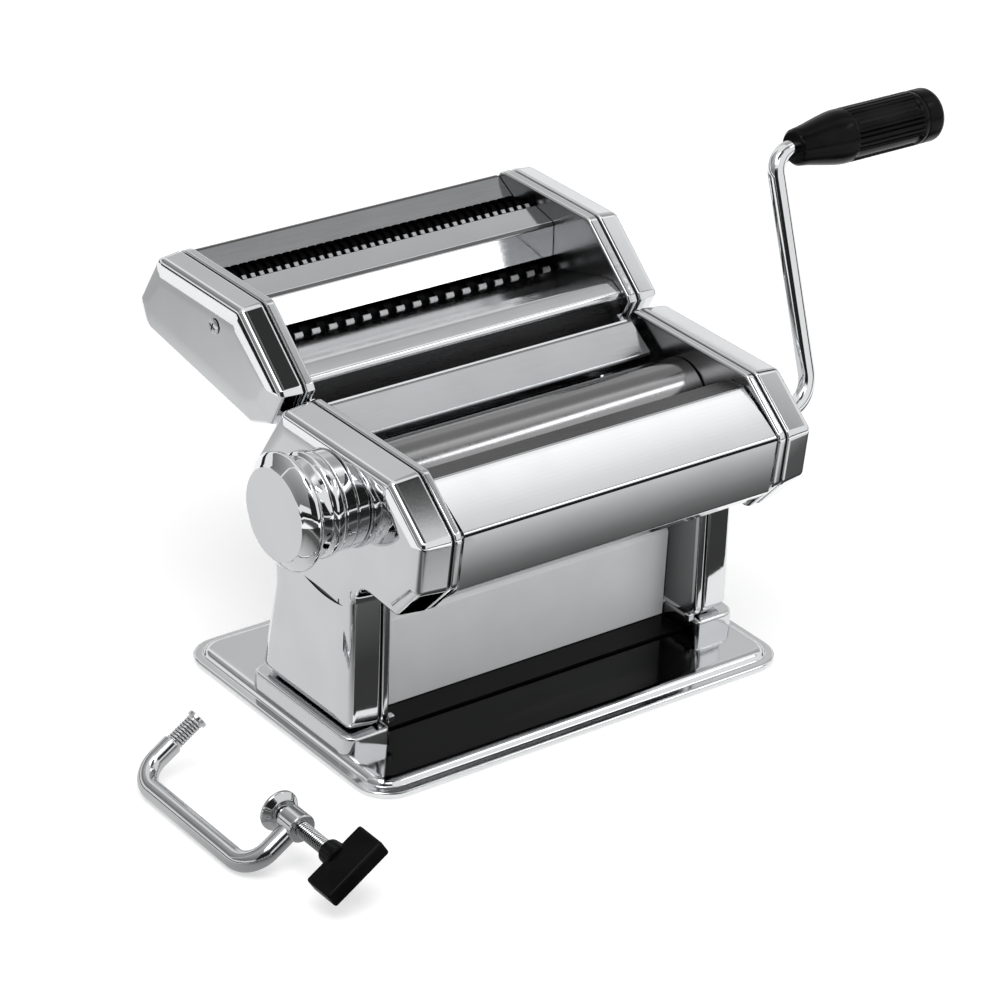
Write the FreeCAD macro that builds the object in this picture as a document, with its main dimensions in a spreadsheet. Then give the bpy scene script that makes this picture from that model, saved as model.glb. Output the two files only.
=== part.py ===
"""Hand cranked pasta machine for 150 mm wide sheets, with a lift-off twin cutter head and a table clamp.

Millimetres. +X runs along the rollers towards the crank, +Y towards the cutter head, +Z up.
The origin is the middle of the base, in the plane that it stands on.
"""
import FreeCAD, Part
import math
import os
import Sketcher

from FreeCAD import Placement, Rotation, Vector

SIZES = {
    # Pressed base
    "base_length": 200.0, "base_width": 134.0, "base_top": 6.0, "base_corner": 14.0, "rim_lip": 4.0,
    "rim_lip_height": 2.4, "rim_clear": 0.8, "rim_round": 3.2, "tray_wall": 1.2, "pedestal_top": 13.0,
    "pedestal_margin": 2.2, "pedestal_wall": 2.0, "pedestal_round": 3.0, "foot_screw_inset": 9.0,
    "pad_radius": 6.5, "pad_inset_x": 40.0, "pad_inset_y": 18.0,
    # Side frames: a shallow pan inside, a deep cover outside
    "inner_width": 148.8, "plate_depth": 4.0, "plate_sheet": 1.8, "cover_depth": 14.6, "cover_wall": 2.0,
    "cover_clear": 0.4, "cover_round": 4.6, "corner_round": 5.0, "armpit_round": 8.0, "waist_round": 24.0,
    "leg_front": 36.0, "leg_top": 76.5, "leg_foot_front": 38.0, "leg_waist_y": 16.0, "leg_waist_z": 57.0,
    "leg_foot_rear": 24.0, "chin_y": 62.3, "chin_z": 74.5, "jaw_y": 76.0, "jaw_z": 90.0, "nose_y": 77.6,
    "nose_z": 111.0, "brow_y": 55.5, "head_top": 128.4, "head_rear": 14.0, "tail_y": 31.5,
    "tail_z": 100.0,
    # Sheet metal between the sides
    "sheet": 1.0, "sheet_gap": 0.3, "hood_lip_y": 46.0, "hood_lip_z": 123.0, "hood_top_y": 55.4,
    "hood_top_z": 123.6, "hood_inset": 0.7, "hood_bottom_y": 74.7, "hood_bottom_z": 87.4,
    "hood_hem_y": 66.7, "hood_hem_z": 80.4, "feed_top_y": 11.5, "feed_top_z": 126.4, "feed_foot_y": 3.0,
    "feed_foot_z": 117.0, "feed_back_y": 13.0, "feed_back_z": 121.4, "feed_hem_y": 2.0,
    "feed_hem_z": 113.0, "back_clear": 0.7, "back_top_y": 12.5, "back_top_z": 124.4,
    "back_tail_y": 29.0, "back_foot_y": 19.0, "back_foot_z": 80.0, "panel_y": 17.5, "panel_top": 44.0,
    "panel_lip_y": 13.3, "panel_lip_z": 51.0, "panel_seat": 0.05, "panel_flange": 14.0, "rod_radius": 3.0,
    "rod_fit": 0.04, "rod_sides": 12.0, "rod_reach": 1.0, "chin_rod_y": 58.3, "chin_rod_z": 83.5,
    "waist_rod_y": 8.0, "waist_rod_z": 86.0,
    # Sheeting rollers
    "roller_z": 105.6, "rear_roller_y": 20.0, "roller_radius": 15.2, "gap_widest": 2.6, "gap_travel": 2.2,
    "roller_end_gap": 0.4, "journal_radius": 5.0, "running_fit": 0.05, "end_play": 0.4,
    "bush_radius": 8.0, "block_width": 18.0, "block_height": 16.0, "block_fit": 0.15, "gear_teeth": 16.0,
    "gear_tip": 17.2, "gear_root": 12.4, "gear_tip_width": 1.3, "gear_root_width": 2.7, "gear_width": 6.0,
    "gear_start": 1.6, "socket_radius": 6.5, "socket_bore": 3.6, "spigot_radius": 2.6,
    "spigot_length": 3.0, "web_gap": 0.3, "socket_web": 1.0, "socket_stand": 0.6,
    # Thickness knob
    "knob_face_radius": 17.9, "knob_radius": 22.7, "knob_neck_radius": 18.8, "knob_ring_radius": 20.4,
    "knob_foot_radius": 19.5, "knob_length": 18.6, "knob_bevel": 4.6, "knob_rim": 2.2,
    "knob_ring_width": 5.0, "knob_travel": 3.5, "knob_wall": 3.0, "dial_length": 5.2, "dial_bore": 12.0,
    "spindle_radius": 5.0, "cam_radius": 10.0, "cam_width": 4.5, "spring_outer": 8.4, "spring_wire": 0.9,
    "spring_turns": 3.0, "spring_clear": 0.4, "spring_seat": 0.2, "tip_gap": 0.6, "collar_width": 1.5,
    "cam_gap": 0.9, "knob_web": 3.0, "knob_edge": 1.2, "knob_flare": 1.6, "pin_radius": 1.4,
    "pin_circle": 15.2, "pin_depth": 2.7, "pin_fit": 0.1, "pin_seat": 2.0, "knob_gap": 0.3,
    "pin_stops": 9.0,
    # Crank
    "crank_rod": 3.5, "crank_out": 112.0, "crank_arm": 98.9, "crank_lean": 20.4, "crank_low_bend": 13.0,
    "crank_high_bend": 9.0, "crank_depth": 9.4, "grip_start": 1.0, "grip_length": 71.5, "grip_neck": 7.2,
    "grip_taper": 22.0, "grip_radius": 10.8, "grip_end_radius": 8.4, "grip_edge": 1.0, "cap_round": 2.4,
    "grip_cap_length": 9.0, "grip_fit": 0.06, "rivet_radius": 5.5, "rivet_height": 1.6,
    "rivet_clear": 1.0, "rivet_gap": 0.3,
    # Cutter head
    "cutter_plate_depth": 5.0, "cutter_cover_depth": 12.0, "cutter_wall": 1.8, "cutter_top": 155.8,
    "cutter_top_front": 44.5, "cutter_top_rear": 102.0, "cutter_rear_y": 115.5, "cutter_rear_z": 132.5,
    "cutter_heel_y": 110.0, "cutter_heel_z": 121.8, "cutter_toe_y": 36.5, "cutter_toe_z": 110.6,
    "cutter_tip_y": 15.6, "cutter_tip_z": 130.4, "cutter_gap": 1.08, "cutter_brow_y": 17.1,
    "cutter_brow_z": 132.9, "cutter_foot_z": 115.5, "tip_round": 1.65, "cutter_round": 3.7,
    "ring_radius": 6.5, "core_radius": 4.9, "cutter_centres": 11.7, "ring_margin": 2.4, "fine_pitch": 4.0,
    "wide_pitch": 8.0, "ring_clear": 0.12, "ring_sides": 6.0, "cutter_journal": 3.0, "driver_radius": 5.2,
    "driver_stand": 0.6, "driver_depth": 15.0, "wide_low_y": 70.5, "wide_low_z": 124.1, "wide_lean": 14.5,
    "fine_front_y": 86.0, "fine_front_z": 144.2, "fine_lean": 20.0, "small_teeth": 12.0, "small_tip": 6.4,
    "small_root": 4.9, "small_tip_width": 0.9, "small_root_width": 1.5, "small_gear_width": 5.6,
    "small_gear_start": 1.8, "hook_thickness": 1.9, "hook_gap": 0.3, "hook_rod_y": 17.0,
    "hook_rod_z": 110.0, "hook_tail": 7.0, "hook_head": 10.5, "hook_front": 7.0, "hook_rear": 14.0,
    "hook_boss": 4.5, "hook_fit": 0.15, "screw_head_radius": 3.1, "screw_head_height": 1.2,
    "screw_shank": 1.6, "screw_sides": 6.0, "screw_reach": 1.5, "cutter_screw_y": 59.0,
    "cutter_screw_z": 143.0, "cutter_rod_radius": 2.5, "rear_tip_y": 92.6, "rear_tip_z": 146.4,
    "rear_rise_y": 102.6, "rear_rise_z": 151.9, "rear_edge_y": 104.6, "rear_edge_z": 151.4,
    "rear_foot_y": 105.5, "rear_foot_z": 136.0,
    "fine_sill_y": 78.4, "fine_sill_z": 149.1, "sill_drop": 2.5, "crease_y": 67.0, "crease_z": 146.6,
    "wall_top_y": 65.2, "wall_top_z": 144.0, "wall_foot_y": 64.8, "wall_foot_z": 132.2,
    "wide_sill_y": 62.6, "wide_sill_z": 127.6, "roll_y": 35.0, "roll_z": 134.8, "roll_top_y": 27.0,
    "roll_top_z": 135.8, "roll_front_y": 20.5, "roll_front_z": 132.6, "hem_y": 20.0, "hem_z": 128.6,
    "front_cutter_rod_y": 42.5, "front_cutter_rod_z": 121.5, "rear_cutter_rod_y": 108.0,
    "rear_cutter_rod_z": 128.8,
    # Table clamp
    "clamp_x": 166.0, "clamp_y": 7.5, "clamp_tilt": 33.9, "clamp_rod": 4.0, "clamp_opening": 73.7,
    "clamp_bend": 10.0, "clamp_prong": 18.0, "clamp_spigot": 13.6, "clamp_spigot_radius": 3.4,
    "clamp_flange_radius": 4.0, "clamp_flange": 1.4, "clamp_arm": 23.4, "clamp_eye": 5.6,
    "clamp_eye_length": 9.0, "clamp_screw_radius": 3.0, "clamp_screw_length": 42.0,
    "clamp_pad_radius": 8.0, "clamp_pad_height": 3.4, "clamp_pad_gap": 4.0, "clamp_neck": 1.8,
    "neck_drop": 1.0, "neck_rise": 1.7, "neck_play": 0.2, "pad_slope": 2.5, "pad_rim": 1.2,
    "wing_length": 27.0, "wing_depth": 14.0, "wing_thickness": 7.0, "hub_radius": 5.6, "hub_grip": 8.0,
    "hub_edge": 1.0, "hub_length": 5.0, "socket_tube_radius": 6.0, "tube_stand": 0.5,
    "socket_tube_bore": 4.2, "socket_tube_y": 8.0, "socket_tube_z": 26.0,
}

doc = FreeCAD.newDocument("PastaMachine")
nodes = []


# ---------------------------------------------------------------- sizes


class Size:
    """A length or an angle: its number, and the spreadsheet expression that it comes from."""

    def __init__(self, value, text):
        self.value = value
        self.text = text

    def __add__(self, other):
        return joined(self, "+", other, self.value + number(other))

    def __sub__(self, other):
        return joined(self, "-", other, self.value - number(other))

    def __mul__(self, other):
        return joined(self, "*", other, self.value * number(other))

    def __truediv__(self, other):
        return joined(self, "/", other, self.value / number(other))

    def __radd__(self, other):
        return joined(other, "+", self, other + self.value)

    def __rsub__(self, other):
        return joined(other, "-", self, other - self.value)

    def __rmul__(self, other):
        return joined(other, "*", self, other * self.value)

    def __neg__(self):
        return -1 * self


class Sheet:
    """The spreadsheet of driving sizes; sheet.base_length is the size of that name."""

    def __init__(self, sizes):
        cells = doc.addObject("Spreadsheet::Sheet", "Sizes")
        for row, (name, value) in enumerate(sizes.items(), start=1):
            cells.set(f"A{row}", name)
            cells.set(f"B{row}", str(value))
            cells.setAlias(f"B{row}", name)
        doc.recompute()
        self.cells = cells

    def __getattr__(self, name):
        return Size(float(self.cells.get(name)), f"Sizes.{name}")


def number(size):
    return size.value if isinstance(size, Size) else float(size)


def text(size):
    return size.text if isinstance(size, Size) else f"{float(size):.6g}"


def joined(left, sign, right, value):
    return Size(value, f"({text(left)} {sign} {text(right)})")


def sine(angle):
    return Size(math.sin(math.radians(angle.value)), f"sin({angle.text})")


def cosine(angle):
    return Size(math.cos(math.radians(angle.value)), f"cos({angle.text})")


def whole(size):
    """The size rounded down, with a little to spare for a sum that falls just short of a whole number."""
    return Size(math.floor(size.value + 1e-6), f"floor({size.text} + 0.000001)")


def bind(thing, name, size):
    """Ties a property or a constraint to the sheet, or sets it where the size is a fixed number."""
    thing.setExpression(name, text(size))


S = Sheet(SIZES)


# ---------------------------------------------------------------- sketches


def sketch_on(body, role, offset):
    """A sketch parallel to one of the body's own planes, moved along that plane's normal."""
    sketch = body.newObject("Sketcher::SketchObject", "Outline")
    plane = next(item for item in body.Origin.OriginFeatures if item.Role == role)
    sketch.AttachmentSupport = (plane, [""])
    sketch.MapMode = "FlatFace"
    bind(sketch, "AttachmentOffset.Base.z", offset)
    return sketch


def pin_point(sketch, index, end, point):
    """Holds one point of the sketch at a place given by two sizes."""
    for kind, size in zip(("DistanceX", "DistanceY"), point):
        row = sketch.addConstraint(Sketcher.Constraint(kind, -1, 1, index, end, number(size)))
        if isinstance(size, Size):
            bind(sketch, f"Constraints[{row}]", size)


def draw_lines(sketch, points, closed):
    """Straight edges through the points, each point held by its own sizes."""
    spots = [Vector(number(x), number(y), 0) for x, y in points]
    count = len(points) if closed else len(points) - 1
    first = sketch.GeometryCount
    for step in range(count):
        sketch.addGeometry(Part.LineSegment(spots[step], spots[(step + 1) % len(points)]))
    for step in range(count if closed else count - 1):
        after = first + (step + 1) % count
        sketch.addConstraint(Sketcher.Constraint("Coincident", first + step, 2, after, 1))
    for step in range(count):
        pin_point(sketch, first + step, 1, points[step])
    if not closed:
        pin_point(sketch, first + count - 1, 2, points[-1])


def draw_circle(sketch, centre, radius):
    spot = Vector(number(centre[0]), number(centre[1]), 0)
    index = sketch.addGeometry(Part.Circle(spot, Vector(0, 0, 1), number(radius)))
    pin_point(sketch, index, 3, centre)
    row = sketch.addConstraint(Sketcher.Constraint("Radius", index, number(radius)))
    bind(sketch, f"Constraints[{row}]", radius)


def rectangle(low_x, high_x, low_y, high_y):
    return [(low_x, low_y), (high_x, low_y), (high_x, high_y), (low_x, high_y)]


def draw_bend(sketch, stop, start, corner, radius):
    """A quarter circle from stop to start, which rounds the corner between them."""
    a, b, c = [Vector(number(p[0]), number(p[1]), 0) for p in (stop, start, corner)]
    centre = a + b - c
    leftward = (a - centre).cross(b - centre).z > 0
    begin = a - centre if leftward else b - centre
    angle = math.atan2(begin.y, begin.x)
    circle = Part.Circle(centre, Vector(0, 0, 1), number(radius))
    index = sketch.addGeometry(Part.ArcOfCircle(circle, angle, angle + math.pi / 2))
    pin_point(sketch, index, 1 if leftward else 2, stop)
    pin_point(sketch, index, 2 if leftward else 1, start)
    row = sketch.addConstraint(Sketcher.Constraint("Radius", index, number(radius)))
    bind(sketch, f"Constraints[{row}]", radius)


def draw_rounded_box(sketch, low_x, high_x, low_y, high_y, radius):
    """A rectangle with its four corners rounded to one radius."""
    corners = rectangle(low_x, high_x, low_y, high_y)
    ways = [(1, 0), (0, 1), (-1, 0), (0, -1)]
    for step in range(4):
        way, after = ways[step], ways[(step + 1) % 4]
        here, there = corners[step], corners[(step + 1) % 4]
        begin = (here[0] + way[0] * radius, here[1] + way[1] * radius)
        stop = (there[0] - way[0] * radius, there[1] - way[1] * radius)
        start = (there[0] + after[0] * radius, there[1] + after[1] * radius)
        draw_lines(sketch, [begin, stop], closed=False)
        draw_bend(sketch, stop, start, there, radius)


# ---------------------------------------------------------------- solid features


def new_body(label, y=0.0, z=0.0, x=0.0):
    body = doc.addObject("PartDesign::Body", label)
    body.Label = label
    for axis, size in (("x", x), ("y", y), ("z", z)):
        bind(body, f"Placement.Base.{axis}", size)
    return body


def turn_body(body, axis, angle):
    body.Placement = Placement(body.Placement.Base, Rotation(axis, number(angle)))
    bind(body, "Placement.Rotation.Angle", angle)


def finished(label, body):
    body.Label = label
    nodes.append(body)
    return body


def add_pad(body, sketch, length, way=1):
    """Thickens a sketch along its normal (way 1) or against it (way -1)."""
    pad = body.newObject("PartDesign::Pad", "Pad")
    pad.Profile = sketch
    pad.Reversed = way < 0
    bind(pad, "Length", length)
    doc.recompute()
    return pad


def cut_pocket(body, profile, length, way=1):
    """Cuts a profile into the body, along the sketch normal (way 1) or against it (way -1)."""
    before = body.Shape.Volume
    pocket = body.newObject("PartDesign::Pocket", "Pocket")
    pocket.Profile = profile
    pocket.Reversed = way > 0
    bind(pocket, "Length", length)
    doc.recompute()
    if body.Shape.Volume > before - 1e-3:
        raise RuntimeError(f"a pocket of {body.Label} cuts nothing")
    return pocket


def cut_circle(body, role, offset, centre, radius, length, way=1):
    sketch = sketch_on(body, role, offset)
    draw_circle(sketch, centre, radius)
    return cut_pocket(body, sketch, length, way)


def round_edges(body, chosen, radius):
    """Fillets the edges that the test picks."""
    base = body.Tip
    names = [f"Edge{n}" for n, edge in enumerate(base.Shape.Edges, start=1) if chosen(edge)]
    fillet = body.newObject("PartDesign::Fillet", "Round")
    fillet.Base = (base, names)
    bind(fillet, "Radius", radius)
    doc.recompute()
    return fillet


def bevel_edges(body, chosen, size):
    """Chamfers the edges that the test picks."""
    base = body.Tip
    names = [f"Edge{n}" for n, edge in enumerate(base.Shape.Edges, start=1) if chosen(edge)]
    bevel = body.newObject("PartDesign::Chamfer", "Bevel")
    bevel.Base = (base, names)
    bind(bevel, "Size", size)
    doc.recompute()
    return bevel


def ends_of(edge):
    return edge.Vertexes[0].Point, edge.Vertexes[-1].Point


def corners_at(points):
    """Picks the edges along X that pass through these (y, z) corners."""
    spots = [(number(y), number(z)) for y, z in points]

    def chosen(edge):
        a, b = ends_of(edge)
        along = abs(a.y - b.y) + abs(a.z - b.z) < 1e-6
        return along and any(abs(a.y - y) + abs(a.z - z) < 1e-3 for y, z in spots)

    return chosen


def rim_at(axis, size):
    """Picks the edges that lie wholly in the plane where the axis has this value."""
    level = number(size)
    return lambda edge: all(abs(getattr(v.Point, axis) - level) < 1e-6 for v in edge.Vertexes)


def turned(body, points):
    """Revolves an (x, radius) outline about the body's own X axis."""
    sketch = sketch_on(body, "XZ_Plane", 0.0)
    draw_lines(sketch, points, closed=True)
    turn = body.newObject("PartDesign::Revolution", "Turned")
    turn.Profile = sketch
    turn.ReferenceAxis = (sketch, ["H_Axis"])
    turn.Angle = 360.0
    doc.recompute()
    return sketch


def flats(centre, radius, count):
    """The corners of a regular outline, which stands in for a small circle that repeats."""
    step = Size(360.0 / number(count), f"(360 / {text(count)})")
    turns = [step * turn for turn in range(int(number(count)))]
    return [(centre[0] + radius * cosine(turn), centre[1] + radius * sine(turn)) for turn in turns]


def cut_flats(body, role, offset, centre, radius, count, length, way=1):
    sketch = sketch_on(body, role, offset)
    draw_lines(sketch, flats(centre, radius, count), closed=True)
    return cut_pocket(body, sketch, length, way)


def bar(name, radius, start, length, centre):
    """A thin rod along X from start, with its axis through centre (y, z)."""
    rod = doc.addObject("Part::Prism", name)
    bind(rod, "Polygon", S.rod_sides)
    bind(rod, "Circumradius", radius)
    bind(rod, "Height", length)
    rod.Placement = Placement(Vector(), Rotation(Vector(0, 1, 0), 90))
    for axis, size in zip("xyz", (start, *centre)):
        bind(rod, f"Placement.Base.{axis}", size)
    return rod


def group(label, pieces):
    """One node of separate, identical pieces."""
    compound = doc.addObject("Part::Compound", label)
    compound.Label = label
    compound.Links = pieces
    nodes.append(compound)
    return compound


def bent_sheet(label, points, half_width, thickness):
    """Sheet metal bent along a (y, z) line, thickened to the line's left-hand side."""
    sketch = doc.addObject("Sketcher::SketchObject", label + "_line")
    facing = Rotation(Vector(0, 1, 0), Vector(0, 0, 1), Vector(1, 0, 0), "ZXY")
    sketch.Placement = Placement(Vector(), facing)
    bind(sketch, "Placement.Base.x", -half_width)
    draw_lines(sketch, points, closed=False)
    shell = doc.addObject("Part::Extrusion", label + "_face")
    shell.Base = sketch
    shell.DirMode = "Normal"
    shell.Solid = False
    bind(shell, "LengthFwd", 2 * half_width)
    sheet = doc.addObject("Part::Offset", label)
    sheet.Source = shell
    sheet.Fill = True
    sheet.Join = 2
    bind(sheet, "Value", thickness)
    return finished(label, sheet)


# ---------------------------------------------------------------- shared places

inner = S.inner_width / 2
seam = inner + S.plate_depth
face = seam + S.cover_depth
front_roller_y = S.rear_roller_y + 2 * S.roller_radius + S.gap_widest
front_axis = (-front_roller_y, S.roller_z)
rear_axis = (-S.rear_roller_y, S.roller_z)
sheet_half = inner - S.sheet_gap
back_half = inner - S.hook_gap - S.hook_thickness - S.back_clear
cutter_seam = inner + S.cutter_plate_depth
cutter_face = cutter_seam + S.cutter_cover_depth
ring_span = S.inner_width - 2 * S.ring_margin
hook_rod = (S.hook_rod_y, S.hook_rod_z)
chin_rod = (-S.chin_rod_y, S.chin_rod_z)
waist_rod = (S.waist_rod_y, S.waist_rod_z)
body_rods = [chin_rod, waist_rod, hook_rod]
socket_tube = (-S.socket_tube_y, S.socket_tube_z)
wide_low = (S.wide_low_y, S.wide_low_z)
wide_high = (S.wide_low_y + S.cutter_centres * sine(S.wide_lean),
             S.wide_low_z + S.cutter_centres * cosine(S.wide_lean))
fine_front = (S.fine_front_y, S.fine_front_z)
fine_rear = (S.fine_front_y + S.cutter_centres * cosine(S.fine_lean),
             S.fine_front_z - S.cutter_centres * sine(S.fine_lean))
cutter_rods = [(S.front_cutter_rod_y, S.front_cutter_rod_z), (S.rear_cutter_rod_y, S.rear_cutter_rod_z)]
cutter_screw = (S.cutter_screw_y, S.cutter_screw_z)


# ---------------------------------------------------------------- base


def base_tray():
    """A tray pressed from one sheet, with a bevelled shoulder, a thin lip and a pedestal under each side."""
    body = new_body("base_tray")
    half_x, half_y = S.base_length / 2, S.base_width / 2
    in_x, in_y = half_x - S.rim_lip, half_y - S.rim_lip
    shoulder = sketch_on(body, "XY_Plane", S.rim_clear)
    draw_rounded_box(shoulder, -in_x, in_x, -in_y, in_y, S.base_corner - S.rim_lip)
    add_pad(body, shoulder, S.base_top - S.rim_clear)
    bevel_edges(body, rim_at("z", S.base_top), S.rim_round)
    lip = sketch_on(body, "XY_Plane", S.rim_clear)
    draw_rounded_box(lip, -half_x, half_x, -half_y, half_y, S.base_corner)
    add_pad(body, lip, S.rim_lip_height)
    lip_top = rim_at("z", S.rim_clear + S.rim_lip_height)
    reach_x, reach_y = number(in_x) + 0.1, number(in_y) + 0.1
    outer = lambda edge: lip_top(edge) and all(
        abs(v.Point.x) > reach_x or abs(v.Point.y) > reach_y for v in edge.Vertexes)
    bevel_edges(body, outer, S.rim_lip_height / 2)
    wall = S.rim_round
    under = sketch_on(body, "XY_Plane", S.rim_clear)
    draw_lines(under, rectangle(wall - in_x, in_x - wall, wall - in_y, in_y - wall), closed=True)
    cut_pocket(body, under, S.base_top - S.rim_clear - S.tray_wall)
    for side in (-1, 1):
        pedestal(body, side)
    return finished("base_tray", body)


def pedestal(body, side):
    """The raised, hollow foot under one side, with the holes for its two screws."""
    ends = sorted((side * inner, side * (face + S.pedestal_margin)), key=number)
    low_y, high_y = -(S.leg_foot_front + S.pedestal_margin), S.leg_foot_rear + S.pedestal_margin
    under = S.base_top - S.tray_wall
    outer = sketch_on(body, "XY_Plane", under)
    draw_rounded_box(outer, *ends, low_y, high_y, S.pedestal_round)
    add_pad(body, outer, S.pedestal_top - under)
    wall = S.pedestal_wall
    hollow = sketch_on(body, "XY_Plane", under)
    draw_lines(hollow, rectangle(ends[0] + wall, ends[1] - wall, low_y + wall, high_y - wall), closed=True)
    cut_pocket(body, hollow, S.pedestal_top - S.base_top)
    for y in screw_rows():
        spot = (side * screw_column(), y)
        cut_flats(body, "XY_Plane", under, spot, S.screw_shank + S.rod_fit, S.screw_sides, S.pedestal_top)


def screw_column():
    return seam + S.cover_depth / 2


def screw_rows():
    return [S.foot_screw_inset - S.leg_foot_front, S.leg_foot_rear - S.foot_screw_inset]


def foot_screws():
    """Four screws, up through the pedestals into the feet of the side covers."""
    pieces = []
    ceiling = S.pedestal_top - S.tray_wall
    for side in (-1, 1):
        for y in screw_rows():
            head = doc.addObject("Part::Prism", "screw_head")
            shank = doc.addObject("Part::Prism", "screw_shank")
            bind(head, "Circumradius", S.screw_head_radius)
            bind(head, "Height", S.screw_head_height)
            bind(shank, "Circumradius", S.screw_shank)
            bind(shank, "Height", S.screw_head_height + S.tray_wall + S.cover_wall + S.screw_reach)
            for piece in (head, shank):
                bind(piece, "Polygon", S.screw_sides)
                bind(piece, "Placement.Base.x", side * screw_column())
                bind(piece, "Placement.Base.y", y)
                bind(piece, "Placement.Base.z", ceiling - S.screw_head_height)
            screw = doc.addObject("Part::Fuse", "foot_screw")
            screw.Base, screw.Tool = head, shank
            pieces.append(screw)
    return group("foot_screws", pieces)


def rubber_feet():
    """Four round pads under the tray, which the machine stands on."""
    pieces = []
    spread_x, spread_y = S.base_length / 2 - S.pad_inset_x, S.base_width / 2 - S.pad_inset_y
    for x in (-spread_x, spread_x):
        for y in (-spread_y, spread_y):
            pad = doc.addObject("Part::Prism", "rubber_foot")
            bind(pad, "Polygon", S.rod_sides)
            bind(pad, "Circumradius", S.pad_radius)
            bind(pad, "Height", S.base_top - S.tray_wall)
            bind(pad, "Placement.Base.x", x)
            bind(pad, "Placement.Base.y", y)
            pieces.append(pad)
    return group("rubber_feet", pieces)


# ---------------------------------------------------------------- side frames


def side_outline():
    """The side seen along X: a head that leans forward over a narrower leg."""
    return [
        (-S.leg_foot_front, S.pedestal_top), (-S.leg_front, S.leg_top), (-S.chin_y, S.chin_z),
        (-S.jaw_y, S.jaw_z), (-S.nose_y, S.nose_z), (-S.brow_y, S.head_top), (S.head_rear, S.head_top),
        (S.tail_y, S.tail_z), (S.leg_waist_y, S.leg_waist_z), (S.leg_foot_rear, S.pedestal_top),
    ]


def pan(body, outline, open_x, way, depth, wall):
    """A pan with its mouth in the plane open_x and its floor on the way side; its hollow is added last."""
    mouth = sketch_on(body, "YZ_Plane", open_x)
    draw_lines(mouth, outline, closed=True)
    add_pad(body, mouth, depth, way)
    binder = body.newObject("PartDesign::SubShapeBinder", "Hollow")
    binder.Support = [(mouth, ("",))]
    bind(binder, "Offset", -wall)
    binder.OffsetJoinType = 2
    doc.recompute()
    return binder


def round_side(body, side_x=None):
    """Rounds the corners of a body side, and the edge round its outer face where it has one."""
    points = side_outline()
    armpit, waist = points[1:2], points[8:9]
    others = [p for n, p in enumerate(points) if n not in (1, 8)]
    round_edges(body, corners_at(others), S.corner_round)
    round_edges(body, corners_at(armpit), S.armpit_round)
    round_edges(body, corners_at(waist), S.waist_round)
    if side_x is not None:
        bevel_edges(body, rim_at("x", side_x), S.cover_round)


def side_plate(label, side):
    """The structural pan that carries the rollers, the tie rods and the gap blocks."""
    body = new_body(label)
    hollow = pan(body, side_outline(), side * seam, -side, S.plate_depth, S.plate_sheet)
    round_side(body)
    cut_pocket(body, hollow, S.plate_depth - S.plate_sheet, -side)
    through = S.plate_depth
    cut_circle(body, "YZ_Plane", side * inner, front_axis, S.bush_radius + S.rod_fit, through, side)
    for rod in body_rods:
        cut_flats(body, "YZ_Plane", side * inner, rod, S.rod_radius + S.rod_fit, S.rod_sides, through, side)
    window = sketch_on(body, "YZ_Plane", side * inner)
    half = S.block_width / 2 + S.block_fit
    tall = S.block_height / 2 + S.block_fit
    draw_lines(window, rectangle(rear_axis[0] - half - S.gap_travel, rear_axis[0] + half,
                                 rear_axis[1] - tall, rear_axis[1] + tall), closed=True)
    cut_pocket(body, window, through, side)
    return finished(label, body)


def side_cover(label, side):
    """The deep bright cover over a side plate, rounded all round its outer face."""
    body = new_body(label)
    hollow = pan(body, side_outline(), side * seam, side, S.cover_depth, S.cover_wall)
    round_side(body, side * face)
    cut_pocket(body, hollow, S.cover_depth - S.cover_wall, side)
    if side < 0:
        window = S.cam_radius + S.cover_clear
        cut_circle(body, "YZ_Plane", side * seam, rear_axis, window, S.cover_depth, side)
    else:
        cut_circle(body, "YZ_Plane", seam, front_axis, S.socket_radius + S.cover_clear, S.cover_depth, side)
        tube = S.socket_tube_radius + S.rod_fit
        cut_circle(body, "YZ_Plane", seam, socket_tube, tube, S.cover_depth, side)
    for y in screw_rows():
        spot = (side * screw_column(), y)
        radius, depth = S.screw_shank + S.rod_fit, S.cover_wall + S.screw_reach
        cut_flats(body, "XY_Plane", S.pedestal_top, spot, radius, S.screw_sides, depth)
    return finished(label, body)


def front_hood():
    """The folded cover over the front roller, with a lip behind its top edge."""
    line = [
        (-S.hood_lip_y, S.hood_lip_z), (-S.hood_top_y, S.hood_top_z),
        (-(S.nose_y - S.hood_inset), S.nose_z), (-S.hood_bottom_y, S.hood_bottom_z),
        (-S.hood_hem_y, S.hood_hem_z),
    ]
    return bent_sheet("front_hood", line, sheet_half, S.sheet)


def feed_plate():
    """The sloping plate that leads the dough to the rollers, with a short drop behind the rear one."""
    line = [
        (S.feed_back_y, S.feed_back_z), (S.feed_top_y, S.feed_top_z), (-S.feed_foot_y, S.feed_foot_z),
        (-S.feed_hem_y, S.feed_hem_z),
    ]
    return bent_sheet("feed_plate", line, back_half, S.sheet)


def back_cover():
    """The rear sheet, from under the feed plate down past the widest point of the head."""
    line = [(S.back_top_y, S.back_top_z), (S.back_tail_y, S.tail_z), (S.back_foot_y, S.back_foot_z)]
    return bent_sheet("back_cover", line, back_half, S.sheet)


def cross_panel():
    """The upright panel between the legs, folded at its foot and at its top."""
    foot = S.base_top + S.panel_seat
    line = [
        (-(S.panel_y + S.panel_flange), foot), (-S.panel_y, foot), (-S.panel_y, S.panel_top),
        (-S.panel_lip_y, S.panel_lip_z),
    ]
    return bent_sheet("cross_panel", line, sheet_half, S.sheet)


def tie_rods():
    """Three rods that hold the side plates apart; the cutter head hangs on the rear one."""
    start = -(inner + S.plate_sheet + S.rod_reach)
    return group("tie_rods", [bar("tie_rod", S.rod_radius, start, -2 * start, rod) for rod in body_rods])


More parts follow.
